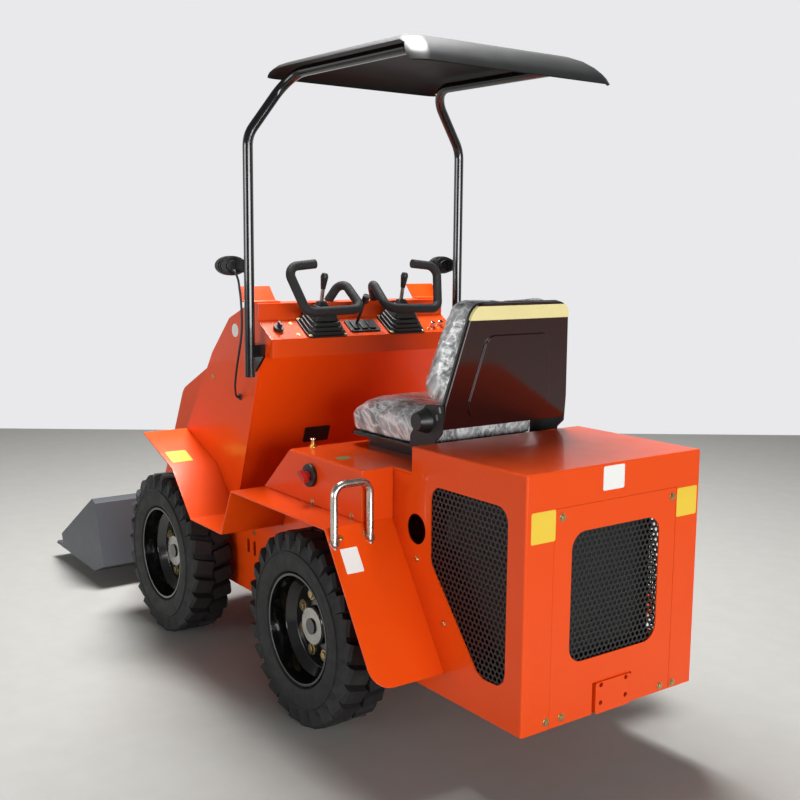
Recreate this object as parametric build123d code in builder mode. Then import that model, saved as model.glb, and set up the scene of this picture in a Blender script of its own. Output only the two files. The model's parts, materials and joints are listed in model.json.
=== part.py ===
from build123d import *
import os
from math import atan2, cos, hypot, radians, sin, tan

# Ride-on mini skid steer loader: engine box, seat, cab tower, canopy, four wheels, lift arms and bucket.
# Millimetres, +X forward, +Y to the left, +Z up, floor at z = 0.
# X stations run from the rear face of the engine box; centre_x moves the finished pieces at the end.

LEFT = 1
RIGHT = -1
SIDES = (LEFT, RIGHT)

# Sheet thicknesses and clearances
frame_plate = 10
deck_plate = 8
body_sheet = 5
cover_sheet = 4
running_fit = 0.05
pin_side_gap = 1.0
eye_side_gap = 6.0
seam = 2.0

# Main body
body_half_width = 315
body_bottom_z = 216
hood_length = 455
hood_top_z = 869
hood_rear_wall = 8
hood_wall = 4
hood_bend_radius = 6
hood_foot_x = 397
hood_skirt_x = 538
hood_skirt_z = 555
deck_z = 800
deck_front_x = 926
step_z = 655
step_front_x = 1089
floor_z = 506
floor_rear_x = 1160
floor_front_x = 1378
floor_overlap = 22
shoulder_x = 1640
shoulder_z = 560
lip_thickness = 12
motor_slot_places = (1352, 1396)
motor_slot_z = 375
motor_slot_size = (52, 17)

# Engine box openings and rear access panel
panel_margin = 93
panel_half_width = body_half_width - panel_margin
panel_top_z = 776
panel_gap = 0.8
panel_thickness = 4
panel_ledge = 15
notch_half_width = 72
notch_top_z = 300
rear_grille_border = 62
rear_grille_half_width = panel_half_width - rear_grille_border
rear_grille_low_z = 370
rear_grille_high_z = 708
grille_corner_radius = 45
grille_overlap = 14
grille_sheet = 2
mesh_pitch = 46
mesh_hole_radius = 19
mesh_border = 24
side_hole = (434, 646)
side_hole_radius = 42
engine_size = (350, 440, 520)
engine_rear_x = 75

# Towing plate at the rear
hitch_half_width = 65
hitch_thickness = 14
hitch_top_z = 306
hitch_bolt_spacing_y = 92
hitch_bolt_spacing_z = 48
hitch_bolt_z = 268
hitch_bolt_radius = 6.5

# Wheels
tyre_radius = 290
tyre_width = 162
rear_axle_x = 790
front_axle_x = 1758
tyre_body_gap = 13
wheel_centre_y = body_half_width + tyre_body_gap + tyre_width / 2
tread_groove_radius = 263
sidewall_ring_radius = 231
bead_radius = 166
bead_gap = 0.3
lug_count = 26
lug_width = 46
lug_slant = 14
rim_wall = 8
rim_half_width = 72
disc_recess = 85
disc_thickness = 10
hub_radius = 58
hub_height = 22
hub_plug_radius = 24
hub_plug_height = 8
spindle_radius = 30
spindle_end_gap = 2.0
wheel_motor_radius = 78
wheel_motor_gap = 1.0

# Fenders, boxes beside the seat and grab handles
fender_overhang = 47
fender_outer_y = wheel_centre_y + tyre_width / 2 + fender_overhang
fender_front = (1758, 741)
fender_bend = (1518, 651)
flap_top_x = 544
flap_foot = (303, 282)
flap_corner_radius = 60
box_width = 105
box_outer_y = body_half_width + box_width
box_rear_x = 541
handle_tube_radius = 10.5
handle_x = 520
handle_box_inset = 13
handle_edge_inset = 15
handle_inner_y = box_outer_y - handle_box_inset
handle_outer_y = fender_outer_y - handle_edge_inset
handle_top_z = 775
handle_bend_radius = 32
handle_foot_radius = 14.5
handle_foot_thickness = 6

# Front tower
tower_overhang = 55
tower_half_width = body_half_width + tower_overhang
tower_edge = 1124
dash_low_z = 1109
dash_high = (1210, 1164)
crest_rear = (1208, 1218)
crest_front = (1254, 1222)
knee = (1210, 1000)
nose_high = (1411, 1162)
nose_low = (1542, 1037)
cover_arm_gap = 14
web_thickness = 8

# Canopy
post_radius = 16
post_x = 1180
post_standoff = 46
post_y = tower_half_width + post_standoff
post_foot_z = 990
post_bend_z = 1735
post_bend_radius = 95
rail_front_x = 1155
rail_rear_x = 540
rail_drop = 24
rail_inset = 26
roof_rear_lip = (390, 1866)
roof_front_lip = (1228, 1917)
roof_rear_crown = (500, 1949)
roof_front_crown = (1186, 1957)
lip_rear_half_width = 362
lip_front_half_width = 342
lip_corner_radius = 22
crown_half_width = 304
crown_corner_radius = 50
dome_half_width = 140
dome_inset_x = 75
dome_height = 20
rail_y = crown_half_width - rail_inset
roof_wall = 5
side_lip = 18
side_cut_inset = 26
roof_rib_width = 30
roof_rib_height = 5
roof_boss_length = 46
roof_boss_width = 22

# Work lamps on the posts
lamp_radius = 52
lamp_depth = 46
lamp_z = 1337
lamp_offset_y = 9
lamp_y = post_y + lamp_offset_y
lamp_rear_x = 1250
lamp_lens_radius = 45
lamp_tab = 6
lead_radius = 3.5

# Seat
seat_rear_x = 445
seat_front_x = 912
seat_half_width = 225
seat_pan_z = 833
seat_pan_thickness = 12
seat_rail_y = 160
seat_rail_width = 34
cushion_height = 92
back_foot_z = 908
back_height = 352
back_lean = 10.7
back_top_half_width = 172
back_shell_thickness = 8
back_cushion_thickness = 72
back_straight = 70
hinge_plate = 6
hinge_cone_radius = 35
hinge_cone_length = 34

# Lift arms, cylinders and bucket, in the upright lengthwise plane
arm_width = 56
arm_pivot = (1330, 1090)
arm_pivot_boss = 60
arm_elbow = (1900, 800)
arm_elbow_boss = 78
bucket_pin = (2290, 140)
bucket_eye = 35
pivot_shaft_radius = 25
bucket_pin_radius = 15
lug_plate = 12
cross_tube = (1885, 790)
cross_tube_radius = 45
lift_foot = (1640, 330)
lift_eye = (1540, 820)
lift_lug_root_radius = 50
tilt_foot = (1850, 680)
tilt_eye = (2300, 254.6)
lift_barrel_radius = 33
barrel_collar = 4
barrel_collar_length = 30
cylinder_side_gap = 6
lift_rod_radius = 18
tilt_barrel_radius = 30
tilt_rod_radius = 16
cylinder_eye_radius = 28
cylinder_eye_width = 30
cylinder_pin_radius = 14
foot_side_gap = 3
lift_lug_thickness = 14
foot_eye_radius = 30
foot_half_length = 34
lift_barrel_length = 446
tilt_barrel_length = 470
lift_rod_tail = 68
tilt_rod_tail = 100
bore_bottom = 54
barrel_start = 42
arm_centre_y = body_half_width - frame_plate - cylinder_side_gap - lift_barrel_radius - barrel_collar
arm_inner_y = arm_centre_y - arm_width / 2
arm_outer_y = arm_centre_y + arm_width / 2
cover_half_width = arm_inner_y - cover_arm_gap
chassis_front_x = 1950
chassis_nose_z = 430

bucket_half_width = 490
bucket_sheet = 8
bucket_rim = (2437, 359)
bucket_back_top = (2402, 346)
bucket_back_foot = (2321, 96)
bucket_heel = (2427, 53)
bucket_tip = (2908, 65)
bucket_cheek_high = (2833, 124)
bucket_cheek_low = (2819, 89)
edge_length = 118
edge_thickness = 16

centre_x = (bucket_tip[0] + hood_rear_wall - hitch_thickness) / 2


# Shared shapes

def side_plane(y):
    """The upright lengthwise plane at y, with its sketch axes along X and Z."""
    return Plane.XZ.offset(-y)


def outline(plane, points, radius=0):
    """A face with the given corners, rounded if a radius is given."""
    with BuildSketch(plane) as face:
        with BuildLine():
            Polyline(*points, close=True)
        make_face()
        if radius:
            fillet(face.vertices(), radius)
    return face.sketch


def disc(plane, centre, radius):
    """A round face."""
    with BuildSketch(plane) as face:
        with Locations(centre):
            Circle(radius)
    return face.sketch


def hull(plane, circles):
    """The face that a belt round the circles encloses: each circle is x, z and radius."""
    with BuildSketch(plane) as face:
        for x, z, radius in circles:
            with Locations((x, z)):
                Circle(radius)
        make_hull(face.edges())
    return face.sketch


def back_face(points, thickness):
    """The other face of a folded sheet, a thickness to the right of its corners."""
    normals = []
    for start, end in zip(points, points[1:]):
        run = hypot(end[0] - start[0], end[1] - start[1])
        normals.append(((end[1] - start[1]) / run, (start[0] - end[0]) / run))
    corners = []
    for point, before, after in zip(points, normals[:1] + normals, normals + normals[-1:]):
        spread = thickness / (1 + before[0] * after[0] + before[1] * after[1])
        corners.append((point[0] + spread * (before[0] + after[0]), point[1] + spread * (before[1] + after[1])))
    return corners


def folded(points, thickness):
    """The closed outline of a folded sheet."""
    return list(points) + back_face(points, thickness)[::-1]


def along(start, end, share):
    """The point a share of the way from start to end."""
    return tuple(a + share * (b - a) for a, b in zip(start, end))


def on_line(start, end, x):
    """The height of the line from start to end at x."""
    return start[1] + (end[1] - start[1]) * (x - start[0]) / (end[0] - start[0])


# Chassis: two side plates, a belly plate with its rear lip, cross members and the feet of the lift cylinders

deck_line = [(hood_length, deck_z), (deck_front_x, deck_z), (step_front_x, step_z), (floor_rear_x, floor_z)]
deck_under = back_face(deck_line, deck_plate)
floor_end_x = floor_front_x + floor_overlap
chassis_side = [
    (hood_foot_x + seam, body_bottom_z),
    (hood_skirt_x + seam, hood_skirt_z),
    (hood_skirt_x + seam, deck_z - deck_plate),
    deck_under[1],
    deck_under[2],
    deck_under[3],
    (floor_rear_x, floor_z - deck_plate),
    (floor_end_x, floor_z - deck_plate),
    (fender_bend[0] + 12, fender_bend[1] - 11),
    (shoulder_x, on_line(fender_bend, fender_front, shoulder_x) - body_sheet - seam),
    (shoulder_x + 60, shoulder_z),
    (chassis_front_x, chassis_nose_z),
    (chassis_front_x, body_bottom_z),
]
rear_plane = Plane(origin=(0, 0, 0), x_dir=(0, 1, 0), z_dir=(1, 0, 0))
chassis_inner_y = body_half_width - frame_plate
belly_top_z = body_bottom_z + frame_plate
belly_rear_x = hood_rear_wall
belly_length = chassis_front_x - belly_rear_x
lift_lug_gap = cylinder_eye_width / 2 + foot_side_gap

with BuildPart() as chassis_sides:
    for side in SIDES:
        extrude(outline(side_plane(side * body_half_width), chassis_side), amount=side * frame_plate)
    # Slots for moving the drive motors and clamping them
    for x in motor_slot_places:
        with BuildSketch(side_plane(0)):
            with Locations((x, motor_slot_z)):
                SlotOverall(*motor_slot_size, rotation=90)
        extrude(amount=body_half_width, both=True, mode=Mode.SUBTRACT)

with BuildPart() as belly_plate:
    with Locations((belly_rear_x + belly_length / 2, 0, body_bottom_z + frame_plate / 2)):
        Box(belly_length, 2 * chassis_inner_y, frame_plate)
    with Locations((belly_rear_x + lip_thickness / 2, 0, (body_bottom_z + hitch_top_z) / 2)):
        Box(lip_thickness, 2 * (panel_half_width - panel_ledge / 2), hitch_top_z - body_bottom_z)
    with BuildSketch(rear_plane.offset(belly_rear_x)):
        with Locations((0, hitch_bolt_z)):
            with GridLocations(hitch_bolt_spacing_y, hitch_bolt_spacing_z, 2, 2):
                Circle(hitch_bolt_radius)
    extrude(amount=lip_thickness, mode=Mode.SUBTRACT)

# Cross members: columns are front x and top z
cross_member_places = (
    (floor_rear_x - 2 * frame_plate, floor_z - 36),
    (floor_end_x + 3 * frame_plate, floor_z - 36),
    (chassis_front_x, chassis_nose_z),
)

with BuildPart() as cross_members:
    for x, top_z in cross_member_places:
        with Locations((x - frame_plate / 2, 0, (belly_top_z + top_z) / 2)):
            Box(frame_plate, 2 * chassis_inner_y, top_z - belly_top_z)

# Forked feet on the belly plate, with their pins for the lift cylinders

with BuildPart() as lift_feet:
    for side in SIDES:
        for offset_y in (-1, 1):
            inner = side * arm_centre_y + offset_y * lift_lug_gap
            foot = hull(side_plane(inner), (
                (*lift_foot, foot_eye_radius),
                (lift_foot[0] - foot_half_length, belly_top_z + 1, 1),
                (lift_foot[0] + foot_half_length, belly_top_z + 1, 1),
            ))
            extrude(foot, amount=-offset_y * lift_lug_thickness)
        extrude(disc(side_plane(side * arm_centre_y), lift_foot, cylinder_pin_radius), amount=lift_lug_gap, both=True)

# Wheel motors: a round housing on the chassis side and a spindle for the hub, at each corner

hub_face_z = tyre_width / 2 - disc_recess
motor_length = wheel_centre_y + hub_face_z - disc_thickness - body_half_width - wheel_motor_gap
spindle_length = motor_length + wheel_motor_gap + disc_thickness + hub_height - hub_plug_height - spindle_end_gap

with BuildPart() as wheel_motors:
    for x in (rear_axle_x, front_axle_x):
        for side in SIDES:
            plane = side_plane(side * body_half_width)
            extrude(disc(plane, (x, tyre_radius), wheel_motor_radius), amount=-side * motor_length)
            extrude(disc(plane, (x, tyre_radius), spindle_radius), amount=-side * spindle_length)

# Engine: one plain block on the belly plate

with BuildPart() as engine_block:
    with Locations((engine_rear_x + engine_size[0] / 2, 0, body_bottom_z + frame_plate + engine_size[2] / 2)):
        Box(*engine_size)

# Engine box: a folded sheet cover, open below and in front, with its grille openings

hood_side = [
    (0, body_bottom_z),
    (0, hood_top_z),
    (hood_length, hood_top_z),
    (hood_length, deck_z - deck_plate),
    (hood_skirt_x, deck_z - deck_plate),
    (hood_skirt_x, hood_skirt_z),
    (hood_foot_x, body_bottom_z),
]
hood_hollow = [
    (hood_rear_wall, body_bottom_z),
    (hood_rear_wall, hood_top_z - hood_wall),
    (hood_length - hood_wall, hood_top_z - hood_wall),
    (hood_length - hood_wall, deck_z - deck_plate),
    (hood_skirt_x, deck_z - deck_plate),
    (hood_skirt_x, body_bottom_z),
]
side_grille = [(371, 778), (64, 778), (64, 320), (149, 318), (176, 331), (371, 570)]
panel_recess_half = panel_half_width + panel_gap
panel_open_half = panel_half_width - panel_ledge

with BuildPart() as engine_hood:
    extrude(outline(side_plane(0), hood_side), amount=body_half_width, both=True)
    rear_bends = engine_hood.faces().sort_by(Axis.X)[0].edges() - engine_hood.edges().group_by(Axis.Z)[0]
    top_bends = engine_hood.faces().sort_by(Axis.Z)[-1].edges().filter_by(Axis.X)
    fillet(rear_bends + top_bends, hood_bend_radius)
    hollow = outline(side_plane(0), hood_hollow)
    extrude(hollow, amount=body_half_width - hood_wall, both=True, mode=Mode.SUBTRACT)
    opening = outline(side_plane(0), side_grille, radius=40)
    extrude(opening, amount=body_half_width, both=True, mode=Mode.SUBTRACT)
    extrude(disc(side_plane(0), side_hole, side_hole_radius), amount=body_half_width, both=True, mode=Mode.SUBTRACT)
    # A recess for the rear access panel, with a ledge round the opening behind it
    recess_height = panel_top_z + panel_gap - body_bottom_z
    with Locations((panel_thickness / 2, 0, body_bottom_z + recess_height / 2)):
        Box(panel_thickness, 2 * panel_recess_half, recess_height, mode=Mode.SUBTRACT)
    open_height = panel_top_z - panel_ledge - body_bottom_z
    with Locations((hood_rear_wall / 2, 0, body_bottom_z + open_height / 2)):
        Box(hood_rear_wall, 2 * panel_open_half, open_height, mode=Mode.SUBTRACT)

# Rear access panel, with the grille opening and the notch over the towing plate

grille_mid_z = (rear_grille_low_z + rear_grille_high_z) / 2
grille_height = rear_grille_high_z - rear_grille_low_z

with BuildPart() as rear_panel:
    with BuildSketch(rear_plane):
        with Locations((0, (panel_top_z + body_bottom_z) / 2)):
            Rectangle(2 * panel_half_width, panel_top_z - body_bottom_z)
        with Locations((0, grille_mid_z)):
            RectangleRounded(
                2 * rear_grille_half_width, grille_height, grille_corner_radius, mode=Mode.SUBTRACT
            )
        with Locations((0, (notch_top_z + body_bottom_z) / 2)):
            Rectangle(2 * notch_half_width, notch_top_z - body_bottom_z, mode=Mode.SUBTRACT)
    extrude(amount=panel_thickness)

# Grille sheets: one behind the rear panel, one behind each side opening, with staggered six-sided holes


def mesh_places(corners):
    """The middles of staggered holes that keep a border inside the convex outline, which runs anticlockwise."""
    row_step = mesh_pitch * cos(radians(30))
    low_x, high_x = min(x for x, z in corners), max(x for x, z in corners)
    low_z, high_z = min(z for x, z in corners), max(z for x, z in corners)
    rows = int((high_z - low_z) / row_step / 2) + 1
    columns = int((high_x - low_x) / mesh_pitch / 2) + 1
    places = []
    for row in range(-rows, rows + 1):
        for column in range(-columns, columns + 1):
            x = (low_x + high_x) / 2 + (column + 0.5 * (row % 2)) * mesh_pitch
            z = (low_z + high_z) / 2 + row * row_step
            inside = True
            for (ax, az), (bx, bz) in zip(corners, corners[1:] + corners[:1]):
                reach = ((bx - ax) * (z - az) - (bz - az) * (x - ax)) / hypot(bx - ax, bz - az)
                inside = inside and reach > mesh_border
            if inside:
                places.append((x, z))
    return places



rear_grille_corners = [
    (-rear_grille_half_width, rear_grille_low_z),
    (rear_grille_half_width, rear_grille_low_z),
    (rear_grille_half_width, rear_grille_high_z),
    (-rear_grille_half_width, rear_grille_high_z),
]

with BuildPart() as rear_grille:
    with BuildSketch(rear_plane.offset(panel_thickness)):
        with Locations((0, grille_mid_z)):
            Rectangle(2 * (rear_grille_half_width + grille_overlap), grille_height + 2 * grille_overlap)
        with Locations(*mesh_places(rear_grille_corners)):
            RegularPolygon(mesh_hole_radius, 6, rotation=30, mode=Mode.SUBTRACT)
    extrude(amount=grille_sheet)

grille_outer_y = body_half_width - hood_wall
side_grille_sheet = [
    (x + grille_overlap * dx, z + grille_overlap * dz)
    for (x, z), (dx, dz) in zip(side_grille, ((1, 1), (-1, 1), (-1, -1), (0.3, -1), (0.7, -0.8), (1, -0.4)))
]

with BuildPart() as side_grilles:
    for side in SIDES:
        with BuildSketch(side_plane(side * grille_outer_y)):
            with BuildLine():
                Polyline(*side_grille_sheet, close=True)
            make_face()
            with Locations(*mesh_places(side_grille)):
                RegularPolygon(mesh_hole_radius, 6, rotation=30, mode=Mode.SUBTRACT)
        extrude(amount=side * grille_sheet)

# Towing plate with its four bolt holes

with BuildPart() as hitch_plate:
    with BuildSketch(rear_plane.offset(hood_rear_wall - hitch_thickness)):
        with Locations((0, (hitch_top_z + body_bottom_z) / 2 - 3)):
            RectangleRounded(2 * hitch_half_width, hitch_top_z - body_bottom_z - 6, 8)
        with Locations((0, hitch_bolt_z)):
            with GridLocations(hitch_bolt_spacing_y, hitch_bolt_spacing_z, 2, 2):
                Circle(hitch_bolt_radius, mode=Mode.SUBTRACT)
    extrude(amount=hitch_thickness)

# Seat deck: one folded plate from the engine box over the front of the seat down to the floor

with BuildPart() as seat_deck:
    extrude(outline(side_plane(0), folded(deck_line, deck_plate)), amount=body_half_width, both=True)

# Footwell floor between the deck and the tower

floor_length = floor_end_x - floor_rear_x - seam

with BuildPart() as footwell_floor:
    with Locations((floor_rear_x + seam + floor_length / 2, 0, floor_z - deck_plate / 2)):
        Box(floor_length, 2 * body_half_width, deck_plate)

# Fenders: one folded plate on each side, from the flap over the rear wheel to the tower

fender_line = [
    flap_foot,
    (flap_top_x, step_z),
    (step_front_x, step_z),
    (floor_rear_x, floor_z),
    (floor_front_x, floor_z),
    fender_bend,
    fender_front,
]


def build_fender(side):
    """One fender plate with the lower outer corner of its flap rounded."""
    with BuildPart() as fender:
        outer = side_plane(side * fender_outer_y)
        extrude(outline(outer, folded(fender_line, body_sheet)), amount=side * (fender_outer_y - body_half_width))
        corner = fender.edges().filter_by(GeomType.LINE).sort_by(Axis.Z)[:12]
        outer_edges = [e for e in corner if abs(abs(e.center().Y) - fender_outer_y) < 0.1]
        foot = [e for e in outer_edges if e.length < 2 * body_sheet]
        fillet(foot[:1], flap_corner_radius)
    return fender


fender_left = build_fender(LEFT)
fender_right = build_fender(RIGHT)

# Boxes beside the seat

box_side = [
    (box_rear_x, step_z),
    (step_front_x, step_z),
    (deck_front_x, deck_z),
    (box_rear_x, deck_z),
]


def build_side_box(side):
    """One closed box between the deck and the outside, rounded along its upper outer edge."""
    with BuildPart() as box:
        outer = side_plane(side * box_outer_y)
        extrude(outline(outer, box_side), amount=side * (box_outer_y - body_half_width))
        outer_face = box.faces().sort_by(Axis.Y)[-1 if side == LEFT else 0]
        fillet(outer_face.edges().sort_by(Axis.Z)[-1:], 8)
    return box


side_box_left = build_side_box(LEFT)
side_box_right = build_side_box(RIGHT)

# Battery isolator on the left box: a round body and its turning key

isolator_at = (805, 741)
isolator_radius = 34
isolator_height = 12
isolator_plane = side_plane(box_outer_y)

with BuildPart() as isolator_body:
    extrude(disc(isolator_plane, isolator_at, isolator_radius), amount=-isolator_height)

with BuildPart() as isolator_key:
    key_plane = side_plane(box_outer_y + isolator_height)
    extrude(disc(key_plane, isolator_at, 13), amount=-8)
    with BuildSketch(side_plane(box_outer_y + isolator_height + 8)):
        with Locations(isolator_at):
            SlotOverall(46, 13, rotation=35)
    extrude(amount=-16)

# Grab handles: a bent tube on two feet, standing on the slope of each flap

flap_plane = Plane(
    origin=(flap_top_x, 0, step_z),
    x_dir=(0, 1, 0),
    z_dir=(flap_foot[1] - step_z, 0, flap_top_x - flap_foot[0]),
)
handle_foot_z = on_line(flap_foot, (flap_top_x, step_z), handle_x)
flap_slope = atan2(step_z - flap_foot[1], flap_top_x - flap_foot[0])
handle_down_slope = (flap_top_x - handle_x) / cos(flap_slope)

with BuildPart() as grab_handles:
    for side in SIDES:
        low = handle_foot_z - 3 * handle_tube_radius
        with BuildLine() as route:
            FilletPolyline(
                (handle_x, side * handle_inner_y, low),
                (handle_x, side * handle_inner_y, handle_top_z),
                (handle_x, side * handle_outer_y, handle_top_z),
                (handle_x, side * handle_outer_y, low),
                radius=handle_bend_radius,
            )
        with BuildSketch(Plane(origin=route.line @ 0, z_dir=route.line % 0)):
            Circle(handle_tube_radius)
        sweep(path=route.line)
    split(bisect_by=flap_plane, keep=Keep.TOP)
    for side in SIDES:
        for y in (handle_inner_y, handle_outer_y):
            with BuildSketch(flap_plane):
                with Locations((side * y, handle_down_slope)):
                    Circle(handle_foot_radius)
            extrude(amount=handle_foot_thickness)

# Tower: two side panels on the fenders, a folded fascia, a nose cover on two webs and the arm shaft

tower_side = [
    (floor_front_x, floor_z),
    fender_bend,
    fender_front,
    nose_low,
    nose_high,
    crest_front,
    crest_rear,
    dash_high,
    (tower_edge, dash_low_z),
    knee,
]
fascia_foot = along((floor_front_x, floor_z), knee, 0.014)
fascia_line = [crest_front, crest_rear, dash_high, (tower_edge, dash_low_z), knee, fascia_foot]
fascia_inner = back_face(fascia_line, -cover_sheet)
cover_line = [along(crest_front, nose_high, 0.03), nose_high, nose_low, along(fender_front, nose_low, 0.04)]
cover_inner = back_face(cover_line, cover_sheet)
web_outline = cover_inner + [
    (shoulder_x, shoulder_z),
    along(fascia_inner[5], fascia_inner[4], 0.06),
    fascia_inner[4],
    (dash_high[0] + 22, dash_high[1] - 12),
]

with BuildPart() as tower_sides:
    for side in SIDES:
        extrude(outline(side_plane(side * tower_half_width), tower_side), amount=side * body_sheet)

with BuildPart() as tower_fascia:
    fascia = outline(side_plane(0), folded(fascia_line, -cover_sheet))
    extrude(fascia, amount=tower_half_width - body_sheet, both=True)

with BuildPart() as nose_cover:
    extrude(outline(side_plane(0), folded(cover_line, cover_sheet)), amount=cover_half_width, both=True)

with BuildPart() as tower_webs:
    for side in SIDES:
        extrude(outline(side_plane(side * cover_half_width), web_outline), amount=side * web_thickness)
    bore = disc(side_plane(0), arm_pivot, pivot_shaft_radius + running_fit)
    extrude(bore, amount=cover_half_width, both=True, mode=Mode.SUBTRACT)

with BuildPart() as arm_shaft:
    extrude(disc(side_plane(0), arm_pivot, pivot_shaft_radius), amount=tower_half_width - body_sheet, both=True)

# Pinch guards: a bent plate with a pointed outer end on the crest, over each arm

guard_line = [along(crest_rear, crest_front, 0.4), along(crest_rear, crest_front, 1.15), (1302, 1268)]
guard_inner_y = tower_half_width - 92
guard_tip_y = tower_half_width + 42
guard_sheet = 4

with BuildPart() as pinch_guards:
    for side in SIDES:
        guard = outline(side_plane(side * guard_inner_y), folded(guard_line, -guard_sheet))
        extrude(guard, amount=-side * (guard_tip_y - guard_inner_y))
        with BuildSketch(Plane.XY):
            with BuildLine():
                Polyline(
                    (guard_line[0][0] - 30, side * (tower_half_width - body_sheet)),
                    (guard_line[1][0], side * (guard_tip_y - 6)),
                    (guard_line[2][0] + 30, side * (guard_tip_y - 30)),
                    (guard_line[2][0] + 30, side * (guard_tip_y + 40)),
                    (guard_line[0][0] - 30, side * (guard_tip_y + 40)),
                    close=True,
                )
            make_face()
        extrude(amount=2 * crest_front[1], mode=Mode.SUBTRACT)

# Dash controls: square boots with bellows, two joysticks, two grip loops and the switches

dash_slope = atan2(dash_high[1] - dash_low_z, dash_high[0] - tower_edge)
dash_mid = along((tower_edge, dash_low_z), dash_high, 0.5)
dash_plane = Plane(
    origin=(dash_mid[0], 0, dash_mid[1]),
    x_dir=(cos(dash_slope), 0, sin(dash_slope)),
    z_dir=(-sin(dash_slope), 0, cos(dash_slope)),
)
stick_y = 160
boot_base = (88, 132, 6)
boot_top_z = dash_mid[1] + 74
stick_radius = 6
knob_radius = 13
knob_length = 52
knob_z = dash_mid[1] + 128
key_y = tower_half_width - 49

with BuildPart() as control_boots:
    for side in SIDES:
        # Bellows rings: columns are low z, height, low radius and high radius
        for low, height, wide, narrow in ((-50, 74, 43, 37), (24, 18, 40, 31), (42, 18, 34, 22), (60, 14, 25, 15)):
            with Locations((dash_mid[0], side * stick_y, dash_mid[1] + low + height / 2)):
                Cone(wide, narrow, height)
    split(bisect_by=dash_plane, keep=Keep.TOP)
    for side in SIDES:
        with BuildSketch(dash_plane):
            with Locations((0, side * stick_y)):
                RectangleRounded(boot_base[0], boot_base[1], 12)
        extrude(amount=boot_base[2])

with BuildPart() as joysticks:
    for side in SIDES:
        with BuildSketch(Plane.XY.offset(boot_top_z)):
            with Locations((dash_mid[0], side * stick_y)):
                Circle(stick_radius)
        extrude(amount=knob_z - boot_top_z)
        with BuildSketch(Plane.XZ.offset(-side * stick_y)):
            with BuildLine():
                Polyline(
                    (dash_mid[0], knob_z),
                    (dash_mid[0] + 0.6 * knob_radius, knob_z),
                    (dash_mid[0] + knob_radius, knob_z + 0.8 * knob_length),
                    (dash_mid[0] + 0.7 * knob_radius, knob_z + knob_length),
                    (dash_mid[0], knob_z + knob_length),
                    close=True,
                )
            make_face()
        revolve(axis=Axis((dash_mid[0], side * stick_y, knob_z), (0, 0, 1)))

grip_radius = 15
# Corners of a grip loop from its foot on the crest: columns are x and z from the middle of the dash, and y
grip_foot = (crest_front[0] - 22, 95, crest_front[1] - 3)
grip_points = (grip_foot,) + tuple(
    (dash_mid[0] + x, y, dash_mid[1] + z)
    for x, y, z in ((35, 58, 155), (-77, 50, 63), (-77, 261, 57), (-17, 300, 198), (-17, 194, 208))
)

with BuildPart() as grip_loops:
    for side in SIDES:
        with BuildLine() as route:
            FilletPolyline(*[(x, side * y, z) for x, y, z in grip_points], radius=34)
        with BuildSketch(Plane(origin=route.line @ 0, z_dir=route.line % 0)):
            Circle(grip_radius)
        sweep(path=route.line)
    crest_slope = atan2(crest_front[1] - crest_rear[1], crest_front[0] - crest_rear[0])
    crest_plane = Plane(
        origin=(crest_front[0], 0, crest_front[1]),
        x_dir=(cos(crest_slope), 0, sin(crest_slope)),
        z_dir=(-sin(crest_slope), 0, cos(crest_slope)),
    )
    with BuildSketch(crest_plane):
        with Locations((grip_points[0][0] - crest_front[0], 0)):
            with GridLocations(0, 2 * grip_points[0][1], 1, 2):
                Rectangle(4 * grip_radius, 4 * grip_radius)
    extrude(amount=-2 * grip_radius, mode=Mode.SUBTRACT)

with BuildPart() as dash_switches:
    with BuildSketch(dash_plane):
        RectangleRounded(62, 118, 8)
    extrude(amount=5)
    with BuildSketch(dash_plane):
        with Locations((0, key_y)):
            Circle(17)
    extrude(amount=12)
    with BuildSketch(dash_plane.offset(12)):
        with Locations((0, key_y)):
            SlotOverall(24, 8)
    extrude(amount=16)
    with BuildSketch(dash_plane):
        with Locations((6, 22)):
            Circle(5)
    extrude(amount=95)
    with BuildSketch(dash_plane.offset(95)):
        with Locations((6, 22)):
            Circle(12)
    extrude(amount=26)

# Canopy: two bent tubes bolted to the tower and a moulded shell on them

def sloped_plane(rear, front):
    """A plane through two points of the middle section, with its x axis towards the front one."""
    slope = atan2(front[1] - rear[1], front[0] - rear[0])
    return Plane(
        origin=((rear[0] + front[0]) / 2, 0, (rear[1] + front[1]) / 2),
        x_dir=(cos(slope), 0, sin(slope)),
        z_dir=(-sin(slope), 0, cos(slope)),
    )


lip_plane = sloped_plane(roof_rear_lip, roof_front_lip)
crown_plane = sloped_plane(roof_rear_crown, roof_front_crown)
lip_length = hypot(roof_front_lip[0] - roof_rear_lip[0], roof_front_lip[1] - roof_rear_lip[1])
crown_length = hypot(roof_front_crown[0] - roof_rear_crown[0], roof_front_crown[1] - roof_rear_crown[1])


def roof_sections(inset):
    """The lip, crown and dome of the roof, drawn in by an inset, as plane, corner radius and corners."""
    sections = []
    for plane, length, rear_half, front_half, radius in (
        (lip_plane, lip_length, lip_rear_half_width, lip_front_half_width, lip_corner_radius),
        (crown_plane, crown_length, crown_half_width, crown_half_width, crown_corner_radius),
        (crown_plane.offset(dome_height), crown_length - 2 * dome_inset_x, dome_half_width, dome_half_width,
         crown_corner_radius),
    ):
        end = length / 2 - inset
        corners = [
            (-end, inset - rear_half), (end, inset - front_half), (end, front_half - inset), (-end, rear_half - inset)
        ]
        drop = 0 if plane is lip_plane else inset
        sections.append((plane.offset(-drop), radius, corners))
    return sections


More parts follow.
